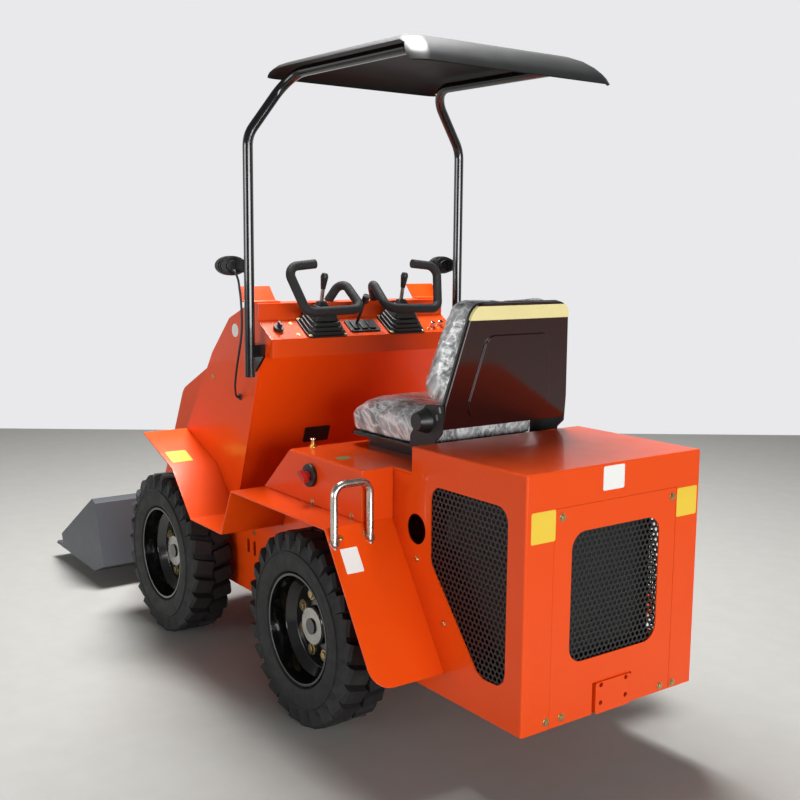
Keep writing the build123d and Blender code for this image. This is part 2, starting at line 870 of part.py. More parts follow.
side_cut = [
    (roof_rear_lip[0] + side_cut_inset, roof_rear_lip[1] - roof_wall),
    (roof_rear_crown[0] + 0.3 * side_cut_inset, roof_rear_crown[1] - side_lip),
    (roof_front_crown[0] - side_cut_inset, roof_front_crown[1] - side_lip),
    (roof_front_lip[0] - side_cut_inset, roof_front_lip[1] - roof_wall),
    (roof_front_lip[0] - side_cut_inset, roof_rear_lip[1] - crown_half_width),
    (roof_rear_lip[0] + side_cut_inset, roof_rear_lip[1] - crown_half_width),
]
rail_height = -roof_wall - rail_drop
boss_places = (-0.33, 0.36)

with BuildPart() as canopy_roof:
    for inset, mode in ((0, Mode.ADD), (roof_wall, Mode.SUBTRACT)):
        sections = roof_sections(inset)
        for pair in zip(sections, sections[1:]):
            for plane, radius, corners in pair:
                with BuildSketch(plane) as section:
                    with BuildLine():
                        Polyline(*corners, close=True)
                    make_face()
                    fillet(section.vertices(), radius)
            loft(ruled=True, mode=mode)
    extrude(outline(side_plane(0), side_cut, radius=12), amount=lip_rear_half_width, both=True, mode=Mode.SUBTRACT)
    # Ribs along the roof: columns are the distance from the middle and the height over the crown
    for rib_y, rib_top in ((70, dome_height + roof_rib_height), (205, 0.65 * dome_height + roof_rib_height)):
        with BuildSketch(crown_plane.offset(-0.5 * roof_wall)):
            with GridLocations(0, 2 * rib_y, 1, 2):
                SlotOverall(crown_length - 2 * dome_inset_x - crown_corner_radius, roof_rib_width)
        extrude(amount=rib_top + 0.5 * roof_wall)
    # Bosses under the crown that rest on the rails
    for share in boss_places:
        with BuildSketch(crown_plane.offset(rail_height + post_radius + bead_gap)):
            with Locations((share * crown_length, 0)):
                with GridLocations(0, 2 * rail_y, 1, 2):
                    Rectangle(roof_boss_length, roof_boss_width)
        extrude(amount=rail_drop + 0.5 * roof_wall - post_radius)


def rail_point(x, side):
    """A point of the canopy rail, which runs parallel to the crown of the roof."""
    reach = (x - crown_plane.origin.X - rail_height * crown_plane.z_dir.X) / crown_plane.x_dir.X
    point = crown_plane.origin + crown_plane.x_dir * reach + crown_plane.z_dir * rail_height
    return (point.X, side * rail_y, point.Z)


bracket_side = [
    (post_x - post_radius, 1052),
    (post_x + 40, 1000),
    (post_x + 92, 1000),
    (post_x + 92, 1092),
    (post_x - post_radius, 1092),
]
bracket_plate = 8

with BuildPart() as canopy_posts:
    for side in SIDES:
        with BuildLine() as route:
            FilletPolyline(
                (post_x, side * post_y, post_foot_z),
                (post_x, side * post_y, post_bend_z),
                rail_point(rail_front_x, side),
                rail_point(rail_rear_x, side),
                radius=post_bend_radius,
            )
        with BuildSketch(Plane(origin=route.line @ 0, z_dir=route.line % 0)):
            Circle(post_radius)
        sweep(path=route.line)
        # Foot bracket: a plate on the tower side and a block out to the tube
        foot_plane = side_plane(side * tower_half_width)
        extrude(outline(foot_plane, bracket_side), amount=-side * bracket_plate)
        block_low = 1054
        block = [
            (post_x - post_radius, block_low),
            (post_x + post_radius, block_low),
            (post_x + post_radius, 1092),
            (post_x - post_radius, 1092),
        ]
        extrude(outline(foot_plane, block), amount=-side * (post_y - tower_half_width))
        # The tab that carries the lamp
        tab = [
            (post_x, lamp_z - 20),
            (lamp_rear_x, lamp_z - 20),
            (lamp_rear_x, lamp_z + 20),
            (post_x, lamp_z + 20),
        ]
        extrude(outline(side_plane(side * lamp_y), tab), amount=lamp_tab / 2, both=True)

# Work lamps: finned round housings facing forward, with their lenses, and the leads down to the tower

lamp_plane = Plane(origin=(lamp_rear_x, 0, lamp_z), x_dir=(0, 1, 0), z_dir=(1, 0, 0))
lens_depth = 6

with BuildPart() as work_lamps:
    for side in SIDES:
        # Housing discs and fins: columns are start depth, depth and radius
        for start, depth, radius in ((0, 10, 30), (10, 4, 46), (14, 4, 36), (18, 4, 49), (22, 4, 38), (26, 20, lamp_radius)):
            with BuildSketch(lamp_plane.offset(start)):
                with Locations((side * lamp_y, 0)):
                    Circle(radius)
            extrude(amount=depth)
        with BuildSketch(lamp_plane.offset(lamp_depth)):
            with Locations((side * lamp_y, 0)):
                Circle(lamp_lens_radius + running_fit)
        extrude(amount=-lens_depth, mode=Mode.SUBTRACT)

with BuildPart() as lamp_lenses:
    for side in SIDES:
        with BuildSketch(lamp_plane.offset(lamp_depth - lens_depth)):
            with Locations((side * lamp_y, 0)):
                Circle(lamp_lens_radius)
        extrude(amount=lens_depth - 2)

lead_points = (
    (lamp_rear_x, lamp_y + 16, lamp_z - 14),
    (lamp_rear_x - 20, lamp_y + 16, lamp_z - 14),
    (1212, 437, 1296),
    (1205, 433, 1240),
    (1204, 430, 1180),
    (1206, 431, 1120),
    (1222, 433, 1062),
    (1252, 428, 1002),
    (1290, 414, 944),
    (1318, 396, 914),
    (1336, tower_half_width + 12, 905),
    (1336, tower_half_width, 905),
)


def lead_radii(points):
    """The largest arc at each corner that its two runs leave room for."""
    radii = []
    for before, corner, after in zip(points, points[1:], points[2:]):
        into = Vector(*corner) - Vector(*before)
        out = Vector(*after) - Vector(*corner)
        half_turn = radians(into.get_angle(out)) / 2
        radii.append(0.45 * min(into.length, out.length) / tan(half_turn))
    return radii


with BuildPart() as lamp_leads:
    for side in SIDES:
        with BuildLine() as route:
            points = [(x, side * y, z) for x, y, z in lead_points]
            FilletPolyline(*points, radius=lead_radii(points))
        with BuildSketch(Plane(origin=route.line @ 0, z_dir=route.line % 0)):
            Circle(lead_radius)
        sweep(path=route.line)
print("lead radii", [round(r) for r in lead_radii(lead_points)])

# Seat: rails, a pan, a cushion, a leaning back with its cushion, and the recliner plates

with BuildPart() as seat_rails:
    with Locations((0.5 * (seat_rear_x + seat_front_x), 0, (deck_z + seat_pan_z) / 2)):
        with GridLocations(0, 2 * seat_rail_y, 1, 2):
            Box(0.8 * (seat_front_x - seat_rear_x), seat_rail_width, seat_pan_z - deck_z)

pan_rear_x = hood_length + 8
pan_top_z = seat_pan_z + seat_pan_thickness

with BuildPart() as seat_pan:
    with BuildSketch(Plane.XY.offset(seat_pan_z)):
        with Locations(((pan_rear_x + seat_front_x) / 2, 0)):
            Rectangle(seat_front_x - pan_rear_x, 2 * seat_half_width)
    extrude(amount=seat_pan_thickness)
    fillet(seat_pan.edges().filter_by(Axis.Z).group_by(Axis.X)[-1], 40)

cushion_rear_x = seat_rear_x + back_cushion_thickness + 22

with BuildPart() as seat_cushion:
    with BuildSketch(Plane.XY.offset(pan_top_z)):
        with Locations(((cushion_rear_x + seat_front_x) / 2, 0)):
            RectangleRounded(seat_front_x - cushion_rear_x, 2 * seat_half_width - 4, 45)
    extrude(amount=cushion_height)
    fillet(seat_cushion.faces().sort_by(Axis.Z)[-1].edges(), 22)

lean = radians(back_lean)
back_plane = Plane(origin=(seat_rear_x, 0, back_foot_z), x_dir=(0, 1, 0), z_dir=(cos(lean), 0, sin(lean)))
back_outline = [
    (-seat_half_width, 0),
    (seat_half_width, 0),
    (seat_half_width, back_straight),
    (back_top_half_width, back_height),
    (-back_top_half_width, back_height),
    (-seat_half_width, back_straight),
]
ridge_share = 0.66

with BuildPart() as backrest_shell:
    with BuildSketch(back_plane) as shell_face:
        with BuildLine():
            Polyline(*back_outline, close=True)
        make_face()
        fillet(shell_face.vertices().group_by(Axis.Y)[-1], 48)
    extrude(amount=-back_shell_thickness)
    ridge = [(x * ridge_share, 30 + y * ridge_share) for x, y in back_outline]
    extrude(outline(back_plane.offset(-back_shell_thickness), ridge, radius=30), amount=-6)

with BuildPart() as backrest_cushion:
    with BuildSketch(back_plane) as cushion_face:
        with BuildLine():
            Polyline(*[(0.97 * x, 46 + (back_height - 52) * y / back_height) for x, y in back_outline], close=True)
        make_face()
        fillet(cushion_face.vertices(), 42)
    extrude(amount=back_cushion_thickness)
    fillet(backrest_cushion.faces().sort_by(Axis.X)[-1].edges(), 20)

hinge_side = [
    (seat_rear_x - 14, back_foot_z + back_straight),
    (seat_rear_x - 8, back_foot_z - 12),
    (pan_rear_x, back_foot_z - 34),
    (pan_rear_x, seat_pan_z),
    (pan_rear_x + 116, seat_pan_z),
    (pan_rear_x + 116, seat_pan_z + 42),
    (seat_rear_x + 64, back_foot_z + 62),
]
hinge_at = (seat_rear_x + 62, seat_pan_z + 92)

with BuildPart() as seat_hinges:
    for side in SIDES:
        plane = side_plane(side * seat_half_width)
        extrude(outline(plane, hinge_side, radius=7), amount=-side * hinge_plate)
        cap = disc(side_plane(side * (seat_half_width + hinge_plate)), hinge_at, hinge_cone_radius)
        extrude(cap, amount=-side * hinge_cone_length, taper=18)

# Wheels, modelled about the Z axis with the outer side up, then set at each corner

half_tyre = tyre_width / 2
bead_half = rim_half_width - 10
tyre_section = [
    (bead_radius + bead_gap, -bead_half),
    (bead_radius + 8, -half_tyre + 6),
    (bead_radius + 34, -half_tyre),
    (sidewall_ring_radius, -half_tyre),
    (tread_groove_radius, -half_tyre + 14),
    (tread_groove_radius, half_tyre - 14),
    (sidewall_ring_radius, half_tyre),
    (bead_radius + 34, half_tyre),
    (bead_radius + 8, half_tyre - 6),
    (bead_radius + bead_gap, bead_half),
]
slant = radians(lug_slant)
lug_side_z = (half_tyre - 0.5 - lug_width / 2 * sin(slant)) / cos(slant)
lug_shoulder_z = lug_side_z - 10
lug_reach = lug_shoulder_z * sin(slant) + lug_width / 2 * cos(slant)
lug_top_radius = (tyre_radius**2 - lug_reach**2) ** 0.5
lug_section = [
    (tread_groove_radius - 12, 5),
    (lug_top_radius, 5),
    (lug_top_radius, lug_shoulder_z),
    (lug_top_radius - 9, lug_side_z - 2),
    (sidewall_ring_radius + 2, lug_side_z),
    (sidewall_ring_radius - 4, lug_side_z - 24),
]



def build_lug(row):
    """One slanted tread lug of the outer or inner row."""
    lug_plane = Plane(origin=(0, 0, 0), x_dir=(1, 0, 0), z_dir=(0, -cos(slant), row * sin(slant)))
    with BuildPart() as lug:
        extrude(outline(lug_plane, [(r, row * z) for r, z in lug_section]), amount=lug_width / 2, both=True)
    return lug


outer_lug = build_lug(LEFT)
inner_lug = build_lug(RIGHT)

with BuildPart() as tyre:
    for lug, start in ((outer_lug, 0), (inner_lug, 180 / lug_count)):
        with PolarLocations(0, lug_count, start_angle=start):
            add(lug.part)
    with BuildSketch(Plane.XZ):
        with BuildLine():
            Polyline(*tyre_section, close=True)
        make_face()
    revolve(axis=Axis.Z)

rim_section = [
    (spindle_radius + running_fit, hub_face_z - disc_thickness),
    (bead_radius - rim_wall, hub_face_z - disc_thickness),
    (bead_radius - rim_wall, -rim_half_width),
    (bead_radius, -rim_half_width),
    (bead_radius, rim_half_width),
    (bead_radius - rim_wall, rim_half_width),
    (bead_radius - rim_wall - 6, hub_face_z + 24),
    (bead_radius - rim_wall - 30, hub_face_z),
    (hub_radius, hub_face_z),
    (hub_radius, hub_face_z + hub_height - 4),
    (hub_radius - 6, hub_face_z + hub_height),
    (hub_plug_radius, hub_face_z + hub_height),
    (hub_plug_radius, hub_face_z + hub_height + hub_plug_height),
    (0, hub_face_z + hub_height + hub_plug_height),
    (0, hub_face_z + hub_height - hub_plug_height),
    (spindle_radius + running_fit, hub_face_z + hub_height - hub_plug_height),
]

with BuildPart() as rim:
    with BuildSketch(Plane.XZ):
        with BuildLine():
            Polyline(*rim_section, close=True)
        make_face()
    revolve(axis=Axis.Z)

# Lift arms: two dog-leg arms, the tube between them, the cylinder lugs and the bucket pins

lift_lug_root = along(arm_pivot, arm_elbow, (lift_eye[0] - arm_pivot[0]) / (arm_elbow[0] - arm_pivot[0]))
tilt_lug_inner = cylinder_eye_width / 2 + eye_side_gap
pin_reach = lug_plate + pin_side_gap

with BuildPart() as lift_arms:
    for side in SIDES:
        plane = side_plane(side * arm_outer_y)
        for circles in (
            ((*arm_pivot, arm_pivot_boss), (*arm_elbow, arm_elbow_boss)),
            ((*arm_elbow, arm_elbow_boss), (*bucket_pin, bucket_eye)),
        ):
            extrude(hull(plane, circles), amount=side * arm_width)
        # Two lug plates under the arm for the rod of the lift cylinder
        for lug_y, inward in ((arm_outer_y, 1), (arm_inner_y, -1)):
            lug_face = hull(side_plane(side * lug_y), ((*lift_lug_root, lift_lug_root_radius), (*lift_eye, cylinder_eye_radius)))
            extrude(lug_face, amount=side * inward * (arm_width / 2 - cylinder_eye_width / 2 - eye_side_gap + 1))
        bore = disc(plane, arm_pivot, pivot_shaft_radius + running_fit)
        extrude(bore, amount=side * arm_width, mode=Mode.SUBTRACT)
        pin = disc(side_plane(side * arm_centre_y), bucket_pin, bucket_pin_radius)
        extrude(pin, amount=arm_width / 2 + pin_reach, both=True)
    extrude(disc(side_plane(0), cross_tube, cross_tube_radius), amount=arm_inner_y, both=True)
    # The fork for the tilt cylinder under the cross tube, with its pin
    for side in SIDES:
        fork = hull(side_plane(side * tilt_lug_inner), ((*cross_tube, 36), (*tilt_foot, cylinder_eye_radius)))
        extrude(fork, amount=-side * lug_plate)
    extrude(disc(side_plane(0), tilt_foot, cylinder_pin_radius), amount=tilt_lug_inner, both=True)


def cylinder_frame(foot, eye, y):
    """The plane whose normal runs from the foot of a cylinder to its rod eye."""
    return Plane(origin=(foot[0], y, foot[1]), x_dir=(0, 1, 0), z_dir=(eye[0] - foot[0], 0, eye[1] - foot[1]))


def cylinder_length(foot, eye):
    """The distance between the two pins of a cylinder at rest."""
    return hypot(eye[0] - foot[0], eye[1] - foot[1])


# Cylinders: columns are foot, eye, barrel radius, rod radius, barrel length and rod tail

lift_cylinder = (lift_foot, lift_eye, lift_barrel_radius, lift_rod_radius, lift_barrel_length, lift_rod_tail)
tilt_cylinder = (tilt_foot, tilt_eye, tilt_barrel_radius, tilt_rod_radius, tilt_barrel_length, tilt_rod_tail)


def build_barrel(foot, eye, barrel_radius, rod_radius, barrel_length, rod_tail, places):
    """The barrels at the given y, each with the eye on its foot pin."""
    with BuildPart() as barrel:
        for y in places:
            frame = cylinder_frame(foot, eye, y)
            with BuildSketch(frame.offset(barrel_start)):
                Circle(barrel_radius)
            extrude(amount=barrel_length - barrel_start)
            with BuildSketch(frame.offset(barrel_length - barrel_collar_length)):
                Circle(barrel_radius + barrel_collar)
            extrude(amount=barrel_collar_length)
            neck_end = along(foot, eye, (barrel_start + 10) / cylinder_length(foot, eye))
            neck = hull(side_plane(y), ((*foot, cylinder_eye_radius), (*neck_end, 0.6 * cylinder_eye_radius)))
            extrude(neck, amount=cylinder_eye_width / 2, both=True)
            with BuildSketch(frame.offset(bore_bottom)):
                Circle(rod_radius + running_fit)
            extrude(amount=barrel_length, mode=Mode.SUBTRACT)
            bore = disc(side_plane(y), foot, cylinder_pin_radius + running_fit)
            extrude(bore, amount=2 * barrel_radius, both=True, mode=Mode.SUBTRACT)
    return barrel


def build_rod(foot, eye, barrel_radius, rod_radius, barrel_length, rod_tail, places):
    """The rods at the given y, each with its eye and the pin in it."""
    with BuildPart() as rod:
        for y in places:
            frame = cylinder_frame(foot, eye, y)
            with BuildSketch(frame.offset(rod_tail)):
                Circle(rod_radius)
            extrude(amount=cylinder_length(foot, eye) - rod_tail - 0.5 * cylinder_eye_radius)
            extrude(disc(side_plane(y), eye, cylinder_eye_radius), amount=cylinder_eye_width / 2, both=True)
    return rod


lift_places = tuple(side * arm_centre_y for side in SIDES)
lift_barrels = build_barrel(*lift_cylinder, lift_places)
lift_rods = build_rod(*lift_cylinder, lift_places)
tilt_barrel = build_barrel(*tilt_cylinder, (0,))
tilt_rod = build_rod(*tilt_cylinder, (0,))

# Bucket: a folded back and floor between two cheeks, a thick cutting edge, and lugs for arms and cylinder

bucket_line = [bucket_rim, bucket_back_top, bucket_back_foot, bucket_heel, along(bucket_tip, bucket_heel, 0.12)]
bucket_cheek = [
    bucket_back_top,
    bucket_rim,
    bucket_cheek_high,
    bucket_cheek_low,
    along(bucket_tip, bucket_heel, 0.2),
    bucket_heel,
    bucket_back_foot,
]
edge_root = along(bucket_tip, bucket_heel, edge_length / (bucket_tip[0] - bucket_heel[0]))
edge_section = [
    edge_root,
    bucket_tip,
    (bucket_tip[0] - 26, bucket_tip[1] + edge_thickness),
    (edge_root[0], edge_root[1] + edge_thickness),
]
back_inside = back_face(bucket_line, -bucket_sheet / 2)
bucket_bore = bucket_pin_radius + running_fit

with BuildPart() as bucket:
    extrude(outline(side_plane(0), folded(bucket_line, -bucket_sheet)), amount=bucket_half_width, both=True)
    extrude(outline(side_plane(0), edge_section), amount=bucket_half_width, both=True)
    for side in SIDES:
        extrude(outline(side_plane(side * bucket_half_width), bucket_cheek), amount=side * bucket_sheet)
        for gap, way in ((arm_outer_y + pin_side_gap, -1), (arm_inner_y - pin_side_gap, 1)):
            lug_plane = side_plane(side * gap)
            extrude(hull(lug_plane, (
                (*bucket_pin, bucket_eye - 3),
                (*along(back_inside[2], back_inside[1], 0.06), 1),
                (*along(back_inside[2], back_inside[1], 0.5), 1),
            )), amount=side * way * lug_plate)
        bore = disc(side_plane(side * arm_centre_y), bucket_pin, bucket_bore)
        extrude(bore, amount=arm_width, both=True, mode=Mode.SUBTRACT)
        tilt_lug = side_plane(side * tilt_lug_inner)
        extrude(hull(tilt_lug, (
            (*tilt_eye, cylinder_eye_radius),
            (*along(back_inside[2], back_inside[1], 0.4), 1),
            (*along(back_inside[2], back_inside[1], 0.94), 1),
        )), amount=-side * lug_plate)

# Hand over the pieces, moved so that the origin is under the middle of the machine

pieces = {
    "chassis_sides": chassis_sides,
    "belly_plate": belly_plate,
    "cross_members": cross_members,
    "lift_feet": lift_feet,
    "wheel_motors": wheel_motors,
    "engine_block": engine_block,
    "engine_hood": engine_hood,
    "rear_panel": rear_panel,
    "rear_grille": rear_grille,
    "side_grilles": side_grilles,
    "hitch_plate": hitch_plate,
    "seat_deck": seat_deck,
    "footwell_floor": footwell_floor,
    "fender_left": fender_left,
    "fender_right": fender_right,
    "side_box_left": side_box_left,
    "side_box_right": side_box_right,
    "isolator_body": isolator_body,
    "isolator_key": isolator_key,
    "grab_handles": grab_handles,
    "tower_sides": tower_sides,
    "tower_fascia": tower_fascia,
    "nose_cover": nose_cover,
    "tower_webs": tower_webs,
    "arm_shaft": arm_shaft,
    "pinch_guards": pinch_guards,
    "control_boots": control_boots,
    "joysticks": joysticks,
    "grip_loops": grip_loops,
    "dash_switches": dash_switches,
    "canopy_roof": canopy_roof,
    "canopy_posts": canopy_posts,
    "work_lamps": work_lamps,
    "lamp_lenses": lamp_lenses,
    "lamp_leads": lamp_leads,
    "seat_rails": seat_rails,
    "seat_pan": seat_pan,
    "seat_cushion": seat_cushion,
    "backrest_shell": backrest_shell,
    "backrest_cushion": backrest_cushion,
    "seat_hinges": seat_hinges,
    "lift_arms": lift_arms,
    "lift_barrels": lift_barrels,
    "lift_rods": lift_rods,
    "tilt_barrel": tilt_barrel,
    "tilt_rod": tilt_rod,
    "bucket": bucket,
}

os.makedirs("parts", exist_ok=True)
to_centre = Location((-centre_x, 0, 0))
for name, piece in pieces.items():
    placed = piece.part.moved(to_centre)
    placed.label = name
    export_step(placed, f"parts/{name}.step")

# Wheels: columns are the corner's name, axle x and side
for corner, axle_x, side in (
    ("front_left", front_axle_x, LEFT),
    ("front_right", front_axle_x, RIGHT),
    ("rear_left", rear_axle_x, LEFT),
    ("rear_right", rear_axle_x, RIGHT),
):
    at_corner = Location((axle_x - centre_x, side * wheel_centre_y, tyre_radius), (-90 * side, 0, 0))
    for name, piece in (("tyre", tyre), ("rim", rim)):
        placed = piece.part.moved(at_corner)
        placed.label = f"{name}_{corner}"
        export_step(placed, f"parts/{name}_{corner}.step")
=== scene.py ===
"""Dresses the ride-on mini skid steer loader: finishes, padded seat, mesh, fasteners, studio and camera."""

import json
import logging
import math
from contextlib import contextmanager
from dataclasses import dataclass, field, replace
from enum import Enum
from typing import Callable, Iterator, Optional, Sequence

import bpy
from mathutils import Matrix, Vector, noise


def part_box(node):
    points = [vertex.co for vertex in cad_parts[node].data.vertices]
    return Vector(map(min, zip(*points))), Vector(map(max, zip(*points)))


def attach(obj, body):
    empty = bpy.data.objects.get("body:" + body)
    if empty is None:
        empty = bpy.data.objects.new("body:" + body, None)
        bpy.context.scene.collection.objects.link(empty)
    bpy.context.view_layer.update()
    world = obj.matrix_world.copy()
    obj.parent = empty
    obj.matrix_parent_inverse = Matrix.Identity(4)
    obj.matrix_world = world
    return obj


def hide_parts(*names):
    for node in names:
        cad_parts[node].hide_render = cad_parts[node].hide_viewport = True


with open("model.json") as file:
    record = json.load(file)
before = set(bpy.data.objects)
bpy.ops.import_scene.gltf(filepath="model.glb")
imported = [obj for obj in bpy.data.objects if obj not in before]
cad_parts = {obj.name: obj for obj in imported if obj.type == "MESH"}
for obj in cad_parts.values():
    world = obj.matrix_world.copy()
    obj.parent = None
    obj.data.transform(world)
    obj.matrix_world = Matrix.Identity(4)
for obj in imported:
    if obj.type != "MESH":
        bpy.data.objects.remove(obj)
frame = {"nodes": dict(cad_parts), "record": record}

LOG = logging.getLogger("loader")
MM = 0.001
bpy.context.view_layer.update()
REAR_FACE_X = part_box("engine_hood")[0].x
LEFT, RIGHT = 1, -1
SIDES = (LEFT, RIGHT)
CORNERS = ("front_left", "front_right", "rear_left", "rear_right")


def at(x: float, y: float, z: float) -> Vector:
    """A point in metres from stations in millimetres.

    Args:
        x: distance forward of the engine box's rear face.
        y: distance to the left of the middle.
        z: height over the floor.

    Returns:
        The point in the part's frame.
    """
    return Vector((REAR_FACE_X + x * MM, y * MM, z * MM))


# Colours and nodes


def hex_to_linear(code: str) -> tuple[float, float, float, float]:
    """Turns an sRGB hex colour into linear light.

    Args:
        code: a colour such as "#e2501c".

    Returns:
        Red, green, blue and an alpha of one.
    """
    values = [int(code[i:i + 2], 16) / 255 for i in (1, 3, 5)]
    linear = [v / 12.92 if v <= 0.04045 else ((v + 0.055) / 1.055) ** 2.4 for v in values]
    return (linear[0], linear[1], linear[2], 1.0)


def add_node(tree: bpy.types.NodeTree, kind: str, settings: Optional[dict] = None,
             inputs: Optional[dict] = None) -> bpy.types.Node:
    """Adds one node with its settings, values and links.

    Args:
        tree: the node tree.
        kind: the node's type.
        settings: attributes of the node.
        inputs: values or linked sockets, by input name or number.

    Returns:
        The new node.
    """
    node = tree.nodes.new(kind)
    for name, value in (settings or {}).items():
        setattr(node, name, value)
    for name, value in (inputs or {}).items():
        if isinstance(value, bpy.types.NodeSocket):
            tree.links.new(value, node.inputs[name])
        else:
            node.inputs[name].default_value = value
    return node


# Finishes


@dataclass(frozen=True)
class Finish:
    """A surface: what the material is, how it was made, and the sizes of its patterns in millimetres."""

    name: str
    slot: str
    colour: str
    roughness: float
    accent: str = "#808080"
    metallic: float = 0.0
    ior: float = 1.5
    coat: float = 0.0
    coat_roughness: float = 0.03
    grain_mm: float = 2.0
    relief_mm: float = 0.03

    def material(self) -> bpy.types.Material:
        """The finish's material, made the first time it is asked for.

        Returns:
            The material with its nodes.
        """
        found = bpy.data.materials.get(self.name)
        if found:
            return found
        made = bpy.data.materials.new(self.name)
        made.use_nodes = True
        made.diffuse_color = hex_to_linear(self.colour)
        tree = made.node_tree
        tree.nodes.clear()
        shader = add_node(tree, "ShaderNodeBsdfPrincipled", inputs={
            "Base Color": hex_to_linear(self.colour), "Roughness": self.roughness, "Metallic": self.metallic,
            "IOR": self.ior, "Coat Weight": self.coat, "Coat Roughness": self.coat_roughness})
        add_node(tree, "ShaderNodeOutputMaterial", inputs={"Surface": shader.outputs["BSDF"]})
        place = add_node(tree, "ShaderNodeTexCoord").outputs["Object"]
        self.pattern(tree, shader, place)
        return made

    def pattern(self, tree: bpy.types.NodeTree, shader: bpy.types.Node, place: bpy.types.NodeSocket) -> None:
        """Adds the finish's own pattern; the plain finish has a fine grain and faint clouds of colour.

        Args:
            tree: the node tree.
            shader: the surface shader.
            place: the coordinates.
        """
        self.clouds(tree, shader, place, size_mm=90, share=0.25)
        self.bumps(tree, shader, [self.speckle(tree, place, self.grain_mm)], [self.relief_mm])

    def speckle(self, tree: bpy.types.NodeTree, place: bpy.types.NodeSocket, size_mm: float, detail: float = 2.0,
                stretch: Sequence[float] = (1, 1, 1)) -> bpy.types.NodeSocket:
        """Noise whose features have a real size.

        Args:
            tree: the node tree.
            place: the coordinates.
            size_mm: the size of a feature.
            detail: octaves of finer noise.
            stretch: scale of the coordinates along each axis.

        Returns:
            The noise value's socket.
        """
        mapped = add_node(tree, "ShaderNodeMapping", inputs={"Vector": place, "Scale": list(stretch)})
        made = add_node(tree, "ShaderNodeTexNoise", inputs={
            "Vector": mapped.outputs["Vector"], "Scale": 1 / (size_mm * MM), "Detail": detail})
        return made.outputs["Fac"]

    def clouds(self, tree: bpy.types.NodeTree, shader: bpy.types.Node, place: bpy.types.NodeSocket,
               size_mm: float, share: float) -> None:
        """Mixes the accent colour in as soft clouds.

        Args:
            tree: the node tree.
            shader: the surface shader.
            place: the coordinates.
            size_mm: the size of a cloud.
            share: the largest share of the accent.
        """
        factor = add_node(tree, "ShaderNodeMapRange", inputs={
            "Value": self.speckle(tree, place, size_mm, 4.0), "From Min": 0.4, "From Max": 0.75, "To Max": share})
        mixed = add_node(tree, "ShaderNodeMix", {"data_type": "RGBA"}, {
            0: factor.outputs["Result"], 6: hex_to_linear(self.colour), 7: hex_to_linear(self.accent)})
        tree.links.new(mixed.outputs[2], shader.inputs["Base Color"])

    def bumps(self, tree: bpy.types.NodeTree, shader: bpy.types.Node, heights: Sequence[bpy.types.NodeSocket],
              depths_mm: Sequence[float]) -> None:
        """Chains bump nodes into the shader's normal and coat normal.

        Args:
            tree: the node tree.
            shader: the surface shader.
            heights: height sockets from zero to one.
            depths_mm: the depth of each.
        """
        normal = None
        for height, depth in zip(heights, depths_mm):
            inputs = {"Height": height, "Distance": depth * MM, "Strength": 1.0}
            if normal:
                inputs["Normal"] = normal
            normal = add_node(tree, "ShaderNodeBump", inputs=inputs).outputs["Normal"]
        tree.links.new(normal, shader.inputs["Normal"])
        if self.coat:
            tree.links.new(normal, shader.inputs["Coat Normal"])

    def smudges(self, tree: bpy.types.NodeTree, shader: bpy.types.Node, place: bpy.types.NodeSocket,
                size_mm: float, spread: float) -> None:
        """Varies the roughness by soft smudges of a real size.

        Args:
            tree: the node tree.
            shader: the surface shader.
            place: the coordinates.
            size_mm: the size of a smudge.
            spread: the largest change of the roughness, up or down.
        """
        varied = add_node(tree, "ShaderNodeMapRange", inputs={
            "Value": self.speckle(tree, place, size_mm, 3.0), "From Min": 0.3, "From Max": 0.7,
            "To Min": self.roughness - spread, "To Max": self.roughness + spread})
        tree.links.new(varied.outputs["Result"], shader.inputs["Roughness"])


@dataclass(frozen=True)
class PowderCoat(Finish):
    """Sprayed and baked paint: gloss with a soft orange peel and a wavy sheet under it."""

    peel_mm: float = 7.0

    def pattern(self, tree: bpy.types.NodeTree, shader: bpy.types.Node, place: bpy.types.NodeSocket) -> None:
        """Adds the peel, the sheet's waves, faint colour clouds and handling smudges.

        Args:
            tree: the node tree.
            shader: the surface shader.
            place: the coordinates.
        """
        self.clouds(tree, shader, place, size_mm=160, share=0.2)
        self.smudges(tree, shader, place, size_mm=70, spread=0.03)
        # The real peel of 2 to 3 mm is drawn a little coarser, so that it shows in the render
        peel = self.speckle(tree, place, self.peel_mm)
        wave = self.speckle(tree, place, 140)
        self.bumps(tree, shader, [wave, peel], [0.5, self.relief_mm])


@dataclass(frozen=True)
class MouldedRubber(Finish):
    """Pressed rubber: dull black with a fine grain and pale dust in patches."""

    def pattern(self, tree: bpy.types.NodeTree, shader: bpy.types.Node, place: bpy.types.NodeSocket) -> None:
        """Adds dust clouds, a moulded grain and roughness patches.

        Args:
            tree: the node tree.
            shader: the surface shader.
            place: the coordinates.
        """
        self.clouds(tree, shader, place, size_mm=34, share=0.4)
        self.smudges(tree, shader, place, size_mm=25, spread=0.08)
        cells = add_node(tree, "ShaderNodeTexVoronoi", inputs={"Vector": place, "Scale": 1 / (self.grain_mm * MM)})
        self.bumps(tree, shader, [self.speckle(tree, place, 18), cells.outputs["Distance"]], [0.5, self.relief_mm])


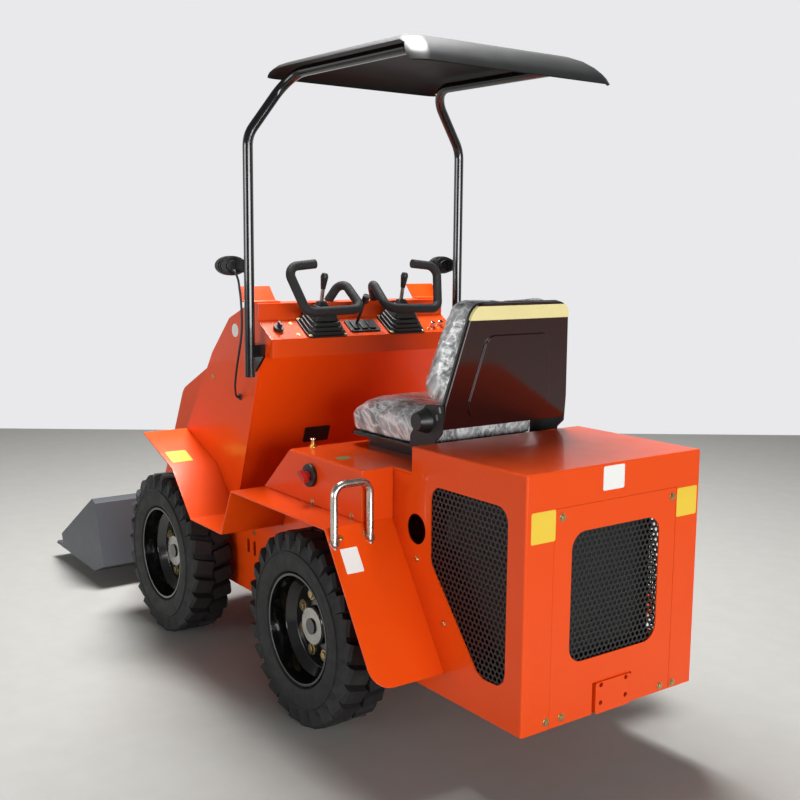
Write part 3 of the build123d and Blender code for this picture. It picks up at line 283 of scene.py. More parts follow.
@dataclass(frozen=True)
class FilmedVinyl(Finish):
    """Black seat vinyl under a crumpled clear wrapping film: grey haze, with white lines along the creases that
    are painted highlights and run slantwise.
    """

    crease_mm: float = 20.0
    slant_deg: tuple = (0, -38, 20)
    run: tuple = (7.0, 1.0, 1.2)

    def pattern(self, tree: bpy.types.NodeTree, shader: bpy.types.Node, place: bpy.types.NodeSocket) -> None:
        """Adds the film's haze, the painted highlights along its creases, the creases' relief and the vinyl's
        grain.

        Args:
            tree: the node tree.
            shader: the surface shader.
            place: the coordinates.
        """
        slanted = add_node(tree, "ShaderNodeMapping", {"vector_type": "TEXTURE"}, {
            "Vector": place, "Rotation": [math.radians(a) for a in self.slant_deg], "Scale": self.run})
        place = slanted.outputs["Vector"]
        haze = self.speckle(tree, place, 34, 4.0)
        fold = self.speckle(tree, place, self.crease_mm, 3.0)
        # The white crease lines mixed into the base colour below are painted highlights on the film.
        middle = add_node(tree, "ShaderNodeMath", {"operation": "SUBTRACT"}, {0: fold, 1: 0.5})
        away = add_node(tree, "ShaderNodeMath", {"operation": "ABSOLUTE"}, {0: middle.outputs[0]})
        crease = add_node(tree, "ShaderNodeMapRange", inputs={
            "Value": away.outputs[0], "From Min": 0.0, "From Max": 0.08, "To Min": 1.0, "To Max": 0.0})
        shade = add_node(tree, "ShaderNodeMapRange", inputs={
            "Value": haze, "From Min": 0.36, "From Max": 0.64, "To Min": 0.16, "To Max": 0.72})
        lines = add_node(tree, "ShaderNodeMath", {"operation": "MULTIPLY"}, {0: crease.outputs[0], 1: 0.6})
        haze_and_painted_highlights = add_node(tree, "ShaderNodeMath", {"operation": "ADD", "use_clamp": True},
                         {0: shade.outputs[0], 1: lines.outputs[0]})
        mixed = add_node(tree, "ShaderNodeMix", {"data_type": "RGBA"}, {
            0: haze_and_painted_highlights.outputs[0], 6: hex_to_linear(self.colour), 7: hex_to_linear(self.accent)})
        tree.links.new(mixed.outputs[2], shader.inputs["Base Color"])
        self.bumps(tree, shader, [fold, self.speckle(tree, place, 5)], [2.6, self.relief_mm])


@dataclass(frozen=True)
class BrushedMetal(Finish):
    """Ground or brushed metal: fine lines along one axis."""

    along: Sequence[float] = (1, 1, 0.05)

    def pattern(self, tree: bpy.types.NodeTree, shader: bpy.types.Node, place: bpy.types.NodeSocket) -> None:
        """Adds brushing lines in the relief and smudges in the roughness.

        Args:
            tree: the node tree.
            shader: the surface shader.
            place: the coordinates.
        """
        self.smudges(tree, shader, place, size_mm=30, spread=0.07)
        self.bumps(tree, shader, [self.speckle(tree, place, self.grain_mm, 3.0, self.along)], [self.relief_mm])


@dataclass(frozen=True)
class PlatedMetal(Finish):
    """Zinc, brass or chrome plate: bright metal whose tint drifts between two colours."""

    def pattern(self, tree: bpy.types.NodeTree, shader: bpy.types.Node, place: bpy.types.NodeSocket) -> None:
        """Adds the tint's drift and small smudges.

        Args:
            tree: the node tree.
            shader: the surface shader.
            place: the coordinates.
        """
        self.clouds(tree, shader, place, size_mm=9, share=0.7)
        self.smudges(tree, shader, place, size_mm=6, spread=0.06)


@dataclass(frozen=True)
class FoamSleeve(Finish):
    """Closed-cell foam: dull black with small pores."""

    def pattern(self, tree: bpy.types.NodeTree, shader: bpy.types.Node, place: bpy.types.NodeSocket) -> None:
        """Adds the pores, drawn a little coarser than real so that they show.

        Args:
            tree: the node tree.
            shader: the surface shader.
            place: the coordinates.
        """
        pores = add_node(tree, "ShaderNodeTexVoronoi", inputs={"Vector": place, "Scale": 1 / (self.grain_mm * MM)})
        self.clouds(tree, shader, place, size_mm=20, share=0.3)
        self.bumps(tree, shader, [pores.outputs["Distance"]], [self.relief_mm])


@dataclass(frozen=True)
class ClearLens(Finish):
    """Moulded clear polycarbonate with a grid of small optics."""

    def pattern(self, tree: bpy.types.NodeTree, shader: bpy.types.Node, place: bpy.types.NodeSocket) -> None:
        """Adds transmission and the optics' relief.

        Args:
            tree: the node tree.
            shader: the surface shader.
            place: the coordinates.
        """
        shader.inputs["Transmission Weight"].default_value = 0.85
        cells = add_node(tree, "ShaderNodeTexVoronoi", inputs={
            "Vector": place, "Scale": 1 / (self.grain_mm * MM), "Randomness": 0.0})
        self.bumps(tree, shader, [cells.outputs["Distance"]], [self.relief_mm])


# Sprayed and baked sheet steel: wet gloss, with reflections that the peel breaks up a little
ORANGE = PowderCoat("orange_powder_coat", "orange_paint", "#e54a08", 0.32, "#dc430a", ior=1.34, coat=0.18,
                    relief_mm=0.02)
BLACK_GLOSS = PowderCoat("black_gloss_enamel", "black_paint", "#0a0a0b", 0.16, "#121213", coat=0.3,
                         relief_mm=0.015)
RIM_ENAMEL = PowderCoat("rim_black_enamel", "rim_black", "#070708", 0.13, "#0e0e0f", coat=0.4, relief_mm=0.015)
BUCKET_GREY = PowderCoat("bucket_satin_grey", "bucket_grey", "#44474c", 0.45, "#50545a", relief_mm=0.05)
# Vacuum-formed ABS: a soft sheen outside with long waves, dull and rough inside; the inside's darker colour is
# painted shade on the faces that point down
SHELL_ABS = PowderCoat("canopy_moulded_shell", "canopy_plastic", "#101112", 0.42, "#191a1b", relief_mm=0.06,
                       peel_mm=30)
SHELL_INSIDE_AND_SHADE = Finish("canopy_dull_inside_and_painted_shade", "canopy_plastic", "#0b0a09", 0.6, "#12110f", ior=1.3, grain_mm=3,
                    relief_mm=0.1)
# Dark brown enamel whose red tint is partly a painted reflection of the orange bodywork.
BACK_PAN = PowderCoat("seat_back_pan_enamel_and_painted_reflection", "black_paint", "#2a0f0d", 0.14, "#1c0a09", coat=0.2, relief_mm=0.015)
# Pressed rubber, soft and hard plastics and foam: dull blacks that differ in grain
TYRE = MouldedRubber("tyre_moulded_rubber", "tyre_rubber", "#1b1b1c", 0.66, "#2c2b29", ior=1.4, grain_mm=2.2,
                     relief_mm=0.1)
BOOT = MouldedRubber("boot_soft_rubber", "black_plastic", "#121213", 0.5, "#1d1d1e", grain_mm=1.6, relief_mm=0.06)
PLASTIC = Finish("black_moulded_plastic", "black_plastic", "#141415", 0.42, "#202022", grain_mm=1.2,
                 relief_mm=0.05)
FOAM = FoamSleeve("grip_foam_sleeve", "foam_grip", "#161617", 0.72, "#242425", grain_mm=2.4, relief_mm=0.25)
RED = Finish("red_gloss_plastic", "red_plastic", "#b3140f", 0.28, "#8f0d0a", coat=0.3, relief_mm=0.02)
# Black vinyl under clear film: the shine of the film's creases is painted into the colour as white lines, which
# run another way on the back
FILM = FilmedVinyl("vinyl_under_film", "seat_vinyl", "#2a2a2c", 0.3, "#e2e4e6", coat=0.9, coat_roughness=0.08,
                   relief_mm=0.35, slant_deg=(0, -38, 20))
BACK_FILM = replace(FILM, name="back_vinyl_under_film", slant_deg=(0, 48, -16))
# Bare and plated metal: brushed lines on the steel, a drifting tint on the plate
STEEL = BrushedMetal("handle_satin_steel", "satin_steel", "#c9c4bb", 0.28, metallic=1.0, grain_mm=0.8,
                     relief_mm=0.03)
SHAFT = BrushedMetal("ground_steel", "satin_steel", "#a9a7a3", 0.25, metallic=1.0, grain_mm=0.8, relief_mm=0.02,
                     along=(1, 0.05, 1))
CHROME = PlatedMetal("rod_hard_chrome", "chrome_rod", "#d8dade", 0.1, "#c6c9ce", metallic=1.0)
ZINC = PlatedMetal("bolt_yellow_zinc", "satin_steel", "#cdb67c", 0.3, "#b9a68f", metallic=1.0)
BRASS = PlatedMetal("tap_brass", "satin_steel", "#c79a4b", 0.28, "#a87f3a", metallic=1.0)
# Painted sheet, cast iron, clear optics and the lead's sheath
MESH = Finish("mesh_black_paint", "mesh_black", "#151516", 0.45, "#222223", grain_mm=3, relief_mm=0.04)
IRON = MouldedRubber("engine_cast_iron", "engine_iron", "#2a2a2b", 0.7, "#3d3a36", grain_mm=3, relief_mm=0.2)
LENS = ClearLens("lamp_clear_lens", "lamp_lens", "#f2f5f7", 0.06, ior=1.58, grain_mm=12, relief_mm=1.0)
SHEATH = Finish("lead_rubber_sheath", "lead_rubber", "#111112", 0.5, "#1b1b1c", grain_mm=1.0, relief_mm=0.02)
# Blank label stock and crepe tape: flat colours with a slight sheen
YELLOW_STOCK = Finish("label_yellow_stock", "orange_paint", "#e8c53c", 0.4, "#dcb52f", grain_mm=1.5,
                      relief_mm=0.01)
WHITE_STOCK = Finish("label_white_stock", "orange_paint", "#e9e9e6", 0.42, "#dcdcd8", grain_mm=1.5, relief_mm=0.01)
GREEN_STOCK = Finish("label_green_stock", "orange_paint", "#3f9a63", 0.35, "#4fae76", grain_mm=1.5, relief_mm=0.01)
TAPE = Finish("masking_tape_crepe", "black_paint", "#e6dfa0", 0.62, "#d8cf8c", grain_mm=2.5, relief_mm=0.12)

FINISH_OF_SLOT = {
    "orange_paint": ORANGE, "black_paint": BLACK_GLOSS, "bucket_grey": BUCKET_GREY, "tyre_rubber": TYRE,
    "rim_black": RIM_ENAMEL, "canopy_plastic": SHELL_ABS, "black_plastic": PLASTIC, "foam_grip": FOAM,
    "red_plastic": RED, "seat_vinyl": FILM, "satin_steel": STEEL, "chrome_rod": CHROME, "mesh_black": MESH,
    "engine_iron": IRON, "lamp_lens": LENS, "lead_rubber": SHEATH,
}


# Modelling


class Pick(Enum):
    """What part of a mesh is selected."""

    VERTS = "VERT"
    EDGES = "EDGE"
    FACES = "FACE"


def take(obj: bpy.types.Object) -> bpy.types.Object:
    """Leaves only this object selected and active.

    Args:
        obj: the object.

    Returns:
        The same object.
    """
    if bpy.context.mode != "OBJECT":
        bpy.ops.object.mode_set(mode="OBJECT")
    bpy.ops.object.select_all(action="DESELECT")
    obj.select_set(True)
    bpy.context.view_layer.objects.active = obj
    return obj


def added(name: str) -> bpy.types.Object:
    """Names the primitive that was just added and puts its place into its mesh.

    Args:
        name: the piece's name.

    Returns:
        The new object, at the origin.
    """
    obj = bpy.context.active_object
    obj.name = name
    take(obj)
    bpy.ops.object.transform_apply(location=True, rotation=True, scale=True)
    return obj


@contextmanager
def editing(obj: bpy.types.Object, pick: Pick = Pick.VERTS) -> Iterator[None]:
    """Opens an object in edit mode with everything that was chosen still selected.

    Args:
        obj: the mesh object.
        pick: what the selection is made of.

    Returns:
        A context that goes back to object mode at its end.
    """
    take(obj)
    bpy.context.tool_settings.mesh_select_mode = tuple(pick is kind for kind in Pick)
    bpy.ops.object.mode_set(mode="EDIT")
    yield
    bpy.ops.object.mode_set(mode="OBJECT")


def choose(obj: bpy.types.Object, pick: Pick, test: Callable[[Vector, Vector], bool]) -> int:
    """Selects the faces, edges or vertices that pass a test.

    Args:
        obj: the mesh object, in object mode.
        pick: which of them.
        test: says yes or no to a centre and a normal, or an edge's direction.

    Returns:
        How many passed.
    """
    mesh = obj.data
    for group in (mesh.vertices, mesh.edges, mesh.polygons):
        group.foreach_set("select", [False] * len(group))
    count = 0
    if pick is Pick.FACES:
        for face in mesh.polygons:
            face.select = test(face.center, face.normal)
            count += face.select
    elif pick is Pick.EDGES:
        for edge in mesh.edges:
            a, b = (mesh.vertices[i].co for i in edge.vertices)
            edge.select = test((a + b) / 2, (b - a).normalized())
            count += edge.select
            for i in edge.vertices:
                mesh.vertices[i].select |= edge.select
    else:
        for vert in mesh.vertices:
            vert.select = test(vert.co, vert.normal)
            count += vert.select
    return count


def apply_modifier(obj: bpy.types.Object, kind: str, **settings: object) -> bpy.types.Object:
    """Adds a modifier and applies it.

    Args:
        obj: the object.
        kind: the modifier's type.
        settings: its settings.

    Returns:
        The same object.
    """
    take(obj)
    made = obj.modifiers.new(kind.lower(), kind)
    for name, value in settings.items():
        setattr(made, name, value)
    bpy.ops.object.modifier_apply(modifier=made.name)
    return obj


def soften(obj: bpy.types.Object, width_mm: float, segments: int = 2, angle: float = 32) -> bpy.types.Object:
    """Rounds the sharp edges and shades the piece smooth, with its flat faces kept flat.

    Args:
        obj: the object.
        width_mm: the width of the rounding, or zero for none.
        segments: steps of the rounding.
        angle: the least angle in degrees that counts as an edge.

    Returns:
        The same object.
    """
    if width_mm:
        apply_modifier(obj, "BEVEL", width=width_mm * MM, segments=segments, limit_method="ANGLE",
                       angle_limit=math.radians(angle))
    take(obj)
    bpy.ops.object.shade_smooth_by_angle(angle=math.radians(42))
    return apply_modifier(obj, "WEIGHTED_NORMAL", keep_sharp=True)


def moved_copy(obj: bpy.types.Object, name: str, matrix: Matrix) -> bpy.types.Object:
    """A copy with its own mesh, set at a place.

    Args:
        obj: the pattern piece, at the origin.
        name: the copy's name.
        matrix: where it goes.

    Returns:
        The copy.
    """
    made = bpy.data.objects.new(name, obj.data.copy())
    made.data.transform(matrix)
    bpy.context.scene.collection.objects.link(made)
    return made


def joined(parts: Sequence[bpy.types.Object], name: str) -> bpy.types.Object:
    """Joins pieces into one mesh.

    Args:
        parts: the pieces.
        name: the joined piece's name.

    Returns:
        The joined piece.
    """
    take(parts[0])
    for part in parts:
        part.select_set(True)
    if len(parts) > 1:
        bpy.ops.object.join()
    parts[0].name = name
    return parts[0]


def facing(point: Vector, normal: Vector, spin: float = 0.0) -> Matrix:
    """The place of a fitting that stands on a surface.

    Args:
        point: where it stands.
        normal: the surface's direction.
        spin: a turn about it in degrees.

    Returns:
        The matrix that takes the fitting's own +Z to the normal.
    """
    turn = normal.to_track_quat("Z", "Y").to_matrix().to_4x4()
    return Matrix.Translation(point) @ turn @ Matrix.Rotation(math.radians(spin), 4, "Z")


def dress(obj: bpy.types.Object, finish: Finish, body: str = "machine",
          replaces: Sequence[str] = ()) -> bpy.types.Object:
    """Gives a piece its finish and body, and hides the CAD nodes that it replaces.

    Args:
        obj: the piece.
        finish: its finish.
        body: the CAD body that it moves with.
        replaces: the CAD nodes that it stands for.

    Returns:
        The same piece.
    """
    obj.data.materials.clear()
    obj.data.materials.append(finish.material())
    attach(obj, body)
    if replaces:
        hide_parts(*replaces)
    LOG.info("%s: %d faces, %s", obj.name, len(obj.data.polygons), finish.name)
    return obj


def disc(name: str, radius_mm: float, height_mm: float, sides: int = 32, edge_mm: float = 0.8) -> bpy.types.Object:
    """A round or many-sided fitting that stands on the origin along +Z, with a rounded upper edge.

    Args:
        name: its name.
        radius_mm: its radius.
        height_mm: its height.
        sides: how many sides.
        edge_mm: the rounding of the upper edge.

    Returns:
        The fitting.
    """
    bpy.ops.object.select_all(action="DESELECT")
    bpy.ops.mesh.primitive_cylinder_add(vertices=sides, radius=radius_mm * MM, depth=height_mm * MM,
                                        location=(0, 0, height_mm * MM / 2))
    obj = added(name)
    top = height_mm * MM - 1e-6
    choose(obj, Pick.EDGES, lambda centre, run: centre.z > top)
    with editing(obj, Pick.EDGES):
        bpy.ops.mesh.bevel(offset=edge_mm * MM, segments=2)
    return obj


def sheet_plate(name: str, width_mm: float, height_mm: float, thick_mm: float,
                corner_mm: float) -> bpy.types.Object:
    """A thin plate on the origin in the XY plane, with rounded corners.

    Args:
        name: its name.
        width_mm: along X.
        height_mm: along Y.
        thick_mm: along +Z.
        corner_mm: the corners' radius.

    Returns:
        The plate.
    """
    bpy.ops.object.select_all(action="DESELECT")
    bpy.ops.mesh.primitive_plane_add(size=1)
    obj = bpy.context.active_object
    obj.scale = (width_mm * MM, height_mm * MM, 1)
    obj = added(name)
    with editing(obj):
        bpy.ops.mesh.select_all(action="SELECT")
        bpy.ops.mesh.bevel(offset=corner_mm * MM, segments=5, affect="VERTICES")
        bpy.ops.mesh.select_all(action="SELECT")
        bpy.ops.mesh.extrude_region_move(TRANSFORM_OT_translate={"value": (0, 0, thick_mm * MM)})
        bpy.ops.mesh.select_all(action="SELECT")
        bpy.ops.mesh.normals_make_consistent(inside=False)
    return obj


def prism(name: str, section: Sequence[tuple[float, float]], half_mm: float) -> bpy.types.Object:
    """A bar across the machine with a section that is drawn from the left.

    Args:
        name: its name.
        section: the section's corners as stations x and z in millimetres.
        half_mm: half of its length.

    Returns:
        The bar.
    """
    bpy.ops.object.select_all(action="DESELECT")
    bpy.ops.mesh.primitive_circle_add(vertices=len(section), radius=1, fill_type="NGON")
    bar = added(name)
    for vert, (x, z) in zip(bar.data.vertices, section):
        vert.co = at(x, -half_mm, z)
    with editing(bar):
        bpy.ops.mesh.select_all(action="SELECT")
        bpy.ops.mesh.extrude_region_move(TRANSFORM_OT_translate={"value": (0, 2 * half_mm * MM, 0)})
        bpy.ops.mesh.select_all(action="SELECT")
        bpy.ops.mesh.normals_make_consistent(inside=False)
    return bar


def hex_bolt(name: str, radius_mm: float) -> bpy.types.Object:
    """A six-sided bolt head on a washer, standing on the origin along +Z.

    Args:
        name: its name.
        radius_mm: the head's radius over its corners.

    Returns:
        The bolt.
    """
    washer = disc(f"{name}_washer", 1.45 * radius_mm, 0.3 * radius_mm, 20, 0.12 * radius_mm)
    head = disc(f"{name}_head", radius_mm, 0.72 * radius_mm, 6, 0.16 * radius_mm)
    return joined([washer, head], name)


def scatter(pattern: bpy.types.Object, name: str, places: Sequence[Matrix], finish: Finish,
            body: str = "machine") -> bpy.types.Object:
    """Sets copies of a fitting at many places, as one piece.

    Args:
        pattern: the fitting; it is removed afterwards.
        name: the piece's name.
        places: where the copies go.
        finish: their finish.
        body: the body that they move with.

    Returns:
        The joined piece.
    """
    copies = [moved_copy(pattern, f"{name}_{i}", place) for i, place in enumerate(places)]
    piece = joined(copies, name)
    bpy.data.objects.remove(pattern)
    soften(piece, 0)
    return dress(piece, finish, body)


def node_copy(node: str, name: str) -> bpy.types.Object:
    """A copy of a CAD node with its loose triangles merged into clean faces.

    Args:
        node: the CAD node.
        name: the copy's name.

    Returns:
        The copy, at the origin.
    """
    obj = bpy.data.objects.new(name, frame["nodes"][node].data.copy())
    bpy.context.scene.collection.objects.link(obj)
    take(obj)
    bpy.ops.mesh.customdata_custom_splitnormals_clear()
    with editing(obj):
        bpy.ops.mesh.select_all(action="SELECT")
        bpy.ops.mesh.remove_doubles(threshold=2e-5)
        bpy.ops.mesh.dissolve_limited(angle_limit=math.radians(0.4))
    return obj


def sculpt(obj: bpy.types.Object, shift: Callable[[Vector, Vector], Vector]) -> bpy.types.Object:
    """Moves each point of a mesh by a rule.

    Args:
        obj: the piece.
        shift: gives the move from a point and its normal.

    Returns:
        The same piece.
    """
    moves = [shift(vert.co.copy(), vert.normal.copy()) for vert in obj.data.vertices]
    for vert, move in zip(obj.data.vertices, moves):
        vert.co += move
    obj.data.update()
    return obj


# Sub-assemblies


@dataclass
class Bodywork:
    """Copies of the CAD nodes with clean faces, rolled edges and their finishes."""

    edge_mm: dict[str, float] = field(default_factory=lambda: {
        "engine_hood": 0.0, "rear_panel": 0.8, "hitch_plate": 1.5, "fender_left": 1.4, "fender_right": 1.4,
        "side_box_left": 2.5, "side_box_right": 2.5, "tower_sides": 1.4, "tower_fascia": 1.6, "nose_cover": 1.4,
        "tower_webs": 1.0, "seat_deck": 1.5, "footwell_floor": 1.2, "chassis_sides": 1.4, "belly_plate": 1.0,
        "cross_members": 1.0, "lift_feet": 1.5, "wheel_motors": 2.0, "pinch_guards": 1.0, "grab_handles": 0.0,
        "arm_shaft": 1.5, "grip_loops": 0.0, "canopy_posts": 0.0,
        "lamp_leads": 0.0, "seat_rails": 1.5, "seat_pan": 2.0, "seat_hinges": 1.5, "engine_block": 12.0,
        "isolator_body": 2.0, "isolator_key": 2.0, "backrest_shell": 2.4,
        "lift_arms": 2.5, "lift_barrels": 1.2, "lift_rods": 1.0, "tilt_barrel": 1.2, "tilt_rod": 1.0,
        "bucket": 1.6, "dash_switches": 1.0,
    })

    def build(self) -> None:
        """Replaces each node on the list by its dressed copy."""
        record = frame["record"]
        slots = {part["node"]: part["material_slot"] for part in record["subparts"]}
        bodies = {node: body for body, nodes in record["behaviour"]["bodies"].items() for node in nodes}
        for node, edge in self.edge_mm.items():
            copy = node_copy(node, f"{node}_dressed")
            soften(copy, edge)
            dress(copy, self.finish(node, slots[node]), bodies[node], [node])

    def finish(self, node: str, slot: str) -> Finish:
        """The finish of a node, from its record slot or its own exception.

        Args:
            node: the CAD node.
            slot: its material slot in the record.

        Returns:
            The finish.
        """
        own = {"arm_shaft": SHAFT, "backrest_shell": BACK_PAN}
        return own.get(node, FINISH_OF_SLOT[slot])


@dataclass
class EngineBox:
    """The perforated grilles, bolts and blank labels of the engine box."""

    pitch_mm: float = 16.5
    hole_mm: float = 12.0
    sheet_mm: float = 1.6
    border_mm: float = 12.0
    side_outline: tuple = ((371, 778), (64, 778), (64, 320), (149, 318), (176, 331), (371, 570))
    panel_bolts: tuple = ((197, 753), (-205, 753))
    low_bolts: tuple = ((234, 238), (182, 238), (-187, 232), (-236, 230))
    bolt_radius_mm: float = 7.5
    corner_label_mm: tuple = (80, 78)
    white_label_mm: tuple = (76, 62)

    def build(self) -> None:
        """Builds the grilles, bolts and labels."""
        self.rear_grille()
        self.side_grilles()
        self.bolts()
        self.labels()

    def perforated(self, name: str, outline: Sequence[tuple[float, float]]) -> bpy.types.Object:
        """A sheet with staggered round holes, cut to a convex outline.

        Args:
            name: its name.
            outline: the outline's corners in millimetres, anticlockwise in the sheet's own plane.

        Returns:
            The sheet in the XY plane.
        """
        pitch = self.pitch_mm * MM
        row = pitch * math.sqrt(3) / 2
        low = Vector((min(x for x, z in outline), min(z for x, z in outline))) * MM
        high = Vector((max(x for x, z in outline), max(z for x, z in outline))) * MM
        bpy.ops.object.select_all(action="DESELECT")
        bpy.ops.mesh.primitive_circle_add(vertices=12, radius=self.hole_mm / 2 * MM, location=(low.x, low.y, 0))
        sheet = added(name)
        with editing(sheet):
            bpy.ops.mesh.primitive_circle_add(vertices=6, radius=pitch / math.sqrt(3), location=(low.x, low.y, 0))
            bpy.ops.mesh.select_all(action="SELECT")
            bpy.ops.mesh.bridge_edge_loops()
        columns = int((high.x - low.x) / pitch) + 2
        rows = int((high.y - low.y) / (2 * row)) + 2
        for count, step in ((2, (pitch / 2, row, 0)), (columns, (pitch, 0, 0)), (rows, (0, 2 * row, 0))):
            apply_modifier(sheet, "ARRAY", count=count, use_relative_offset=False, use_constant_offset=True,
                           constant_offset_displace=step, use_merge_vertices=True, merge_threshold=1e-5)
        with editing(sheet):
            for (ax, ay), (bx, by) in zip(outline, outline[1:] + outline[:1]):
                run = Vector((bx - ax, by - ay, 0)).normalized()
                outward = Vector((run.y, -run.x, 0))
                bpy.ops.mesh.select_all(action="SELECT")
                bpy.ops.mesh.bisect(plane_co=Vector((ax, ay, 0)) * MM + outward * self.border_mm * MM,
                                    plane_no=outward, clear_outer=True)
        return apply_modifier(sheet, "SOLIDIFY", thickness=self.sheet_mm * MM, offset=0)

    def rear_grille(self) -> None:
        """Sets the perforated sheet behind the rear panel's window."""
        low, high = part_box("rear_grille")
        inset = self.border_mm + 2
        half = high.y / MM - inset
        bottom, top = low.z / MM + inset, high.z / MM - inset
        sheet = self.perforated("rear_mesh", [(-half, bottom), (half, bottom), (half, top), (-half, top)])
        upright = Matrix(((0, 0, 1, (low.x + high.x) / 2), (1, 0, 0, 0), (0, 1, 0, 0), (0, 0, 0, 1)))
        sheet.data.transform(upright)
        dress(sheet, MESH, "machine", ["rear_grille"])

    def side_grilles(self) -> None:
        """Sets a perforated sheet behind each side window."""
        low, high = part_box("side_grilles")
        depth = high.y - self.sheet_mm * MM / 2 - 0.2 * MM
        pattern = self.perforated("side_mesh", list(self.side_outline))
        sheets = []
        for side in SIDES:
            place = Matrix(((1, 0, 0, REAR_FACE_X), (0, 0, -1, side * depth), (0, 1, 0, 0), (0, 0, 0, 1)))
            sheets.append(moved_copy(pattern, f"side_mesh_{side}", place))
        bpy.data.objects.remove(pattern)
        dress(joined(sheets, "side_meshes"), MESH, "machine", ["side_grilles"])

    def bolts(self) -> None:
        """Sets the bolts of the access panel and of the lower edge."""
        rear = Vector((-1, 0, 0))
        places = [facing(at(0, y, z), rear, 11 * i) for i, (y, z) in enumerate(self.panel_bolts + self.low_bolts)]
        scatter(hex_bolt("panel_bolt", self.bolt_radius_mm), "panel_bolts", places, ZINC)

    def labels(self) -> None:
        """Sets blank label stock on the rear corners and under the top edge."""
        upright = Matrix(((0, 0, -1, REAR_FACE_X), (-1, 0, 0, 0), (0, 1, 0, 0), (0, 0, 0, 1)))
        for name, finish, size, y, z in (
            ("label_rear_left", YELLOW_STOCK, self.corner_label_mm, 259, 737),
            ("label_rear_right", YELLOW_STOCK, self.corner_label_mm, -264, 733),
            ("label_rear_top", WHITE_STOCK, self.white_label_mm, 20, 832),
        ):
            plate = sheet_plate(name, *size, 0.5, 5)
            plate.data.transform(Matrix.Translation((0, y * MM, z * MM)) @ upright)
            dress(plate, finish)


@dataclass
class Canopy:
    """The moulded roof: a smooth dome with open sides and low ribs, and the bolts of its rails."""

    # Sections from the lip up: rear point, front point, rear and front half width
    rows: tuple = (
        ((391, 1867), (1227, 1918), 361, 341), ((400, 1882), (1226, 1925), 357, 340),
        ((412, 1896), (1222, 1932), 351, 337), ((434, 1915), (1213, 1941), 341, 329),
        ((466, 1935), (1199, 1951), 325, 317), ((504, 1950), (1181, 1958), 303, 300),
        ((560, 1962), (1140, 1967), 230, 230), ((640, 1970), (1075, 1974), 120, 120),
    )
    # The openings of the sides, seen from the left
    side_opening: tuple = ((416, 1861), (452, 1890), (478, 1920), (512, 1932), (1155, 1940), (1188, 1931),
                           (1202, 1912), (1202, 1600), (416, 1600))
    opening_half: float = 500.0
    corner_share: float = 0.07
    wall_mm: float = 4.0
    ribs: tuple = ((62, 1976.5), (192, 1972.0))
    rib_mm: tuple = (430, 34, 6)
    rail_bolts: tuple = ((1128, 278, 1912), (1128, -278, 1912))

    def build(self) -> None:
        """Builds the shell, its ribs and the bolts."""
        shell = self.shell()
        cutter = prism("roof_side_prism", self.side_opening, self.opening_half)
        apply_modifier(shell, "BOOLEAN", operation="DIFFERENCE", object=cutter, solver="EXACT")
        bpy.data.objects.remove(cutter)
        soften(shell, 1.0, segments=2, angle=50)
        dress(shell, SHELL_ABS, "machine", ["canopy_roof"])
        # Faces that point down get the inside finish: a dull grain, and a darker colour that paints in their
        # shade.
        shell.data.materials.append(SHELL_INSIDE_AND_SHADE.material())
        for face in shell.data.polygons:
            face.material_index = int(face.normal.z < -0.05)
        self.rib_set()
        down = Vector((0, 0, -1))
        scatter(hex_bolt("rail_bolt", 6.5), "rail_bolts", [facing(at(*p), down) for p in self.rail_bolts], ZINC)

    def rib_set(self) -> None:
        """Lays the ribs along the roof's top."""
        (rear_x, rear_z), (front_x, front_z) = self.rows[-1][:2]
        lean = Matrix.Rotation(-math.atan2(front_z - rear_z, front_x - rear_x), 4, "Y")
        middle = (rear_x + front_x) / 2
        ribs = []
        for side in SIDES:
            for y, z in self.ribs:
                rib = sheet_plate(f"roof_rib_{side}_{y}", *self.rib_mm, 16)
                rib.data.transform(Matrix.Translation(at(middle, side * y, z - self.rib_mm[2])) @ lean)
                ribs.append(rib)
        dress(soften(joined(ribs, "roof_ribs"), 3.0, segments=3), SHELL_ABS)

    def shell(self) -> bpy.types.Object:
        """The dome as a sheet through its sections.

        Returns:
            The shell, with its wall.
        """
        bpy.ops.object.select_all(action="DESELECT")
        bpy.ops.mesh.primitive_plane_add(size=2)
        shell = added("roof_shell")
        with editing(shell):
            bpy.ops.mesh.select_all(action="SELECT")
            bpy.ops.mesh.bevel(offset=2 * self.corner_share, segments=8, affect="VERTICES")
            bpy.ops.mesh.select_all(action="SELECT")
            for _ in self.rows[1:]:
                bpy.ops.mesh.extrude_region_move(TRANSFORM_OT_translate={"value": (0, 0, 1)})
        if choose(shell, Pick.FACES, lambda centre, normal: centre.z < 0.2):
            with editing(shell, Pick.FACES):
                bpy.ops.mesh.delete(type="FACE")
        sculpt(shell, self.to_section)
        with editing(shell):
            bpy.ops.mesh.select_all(action="SELECT")
            bpy.ops.mesh.normals_make_consistent(inside=False)
        return apply_modifier(shell, "SOLIDIFY", thickness=self.wall_mm * MM, offset=-1, use_even_offset=True)

    def to_section(self, co: Vector, normal: Vector) -> Vector:
        """Moves a point of the stack of unit squares to its section of the roof.

        Args:
            co: the point, whose height is the section's number.
            normal: its normal, which isn't used.

        Returns:
            The move.
        """
        rear, front, rear_half, front_half = self.rows[min(round(co.z), len(self.rows) - 1)]
        share = (co.x + 1) / 2
        half = rear_half + share * (front_half - rear_half)
        x = rear[0] + share * (front[0] - rear[0])
        z = rear[1] + share * (front[1] - rear[1])
        return at(x, co.y * half, z) - co


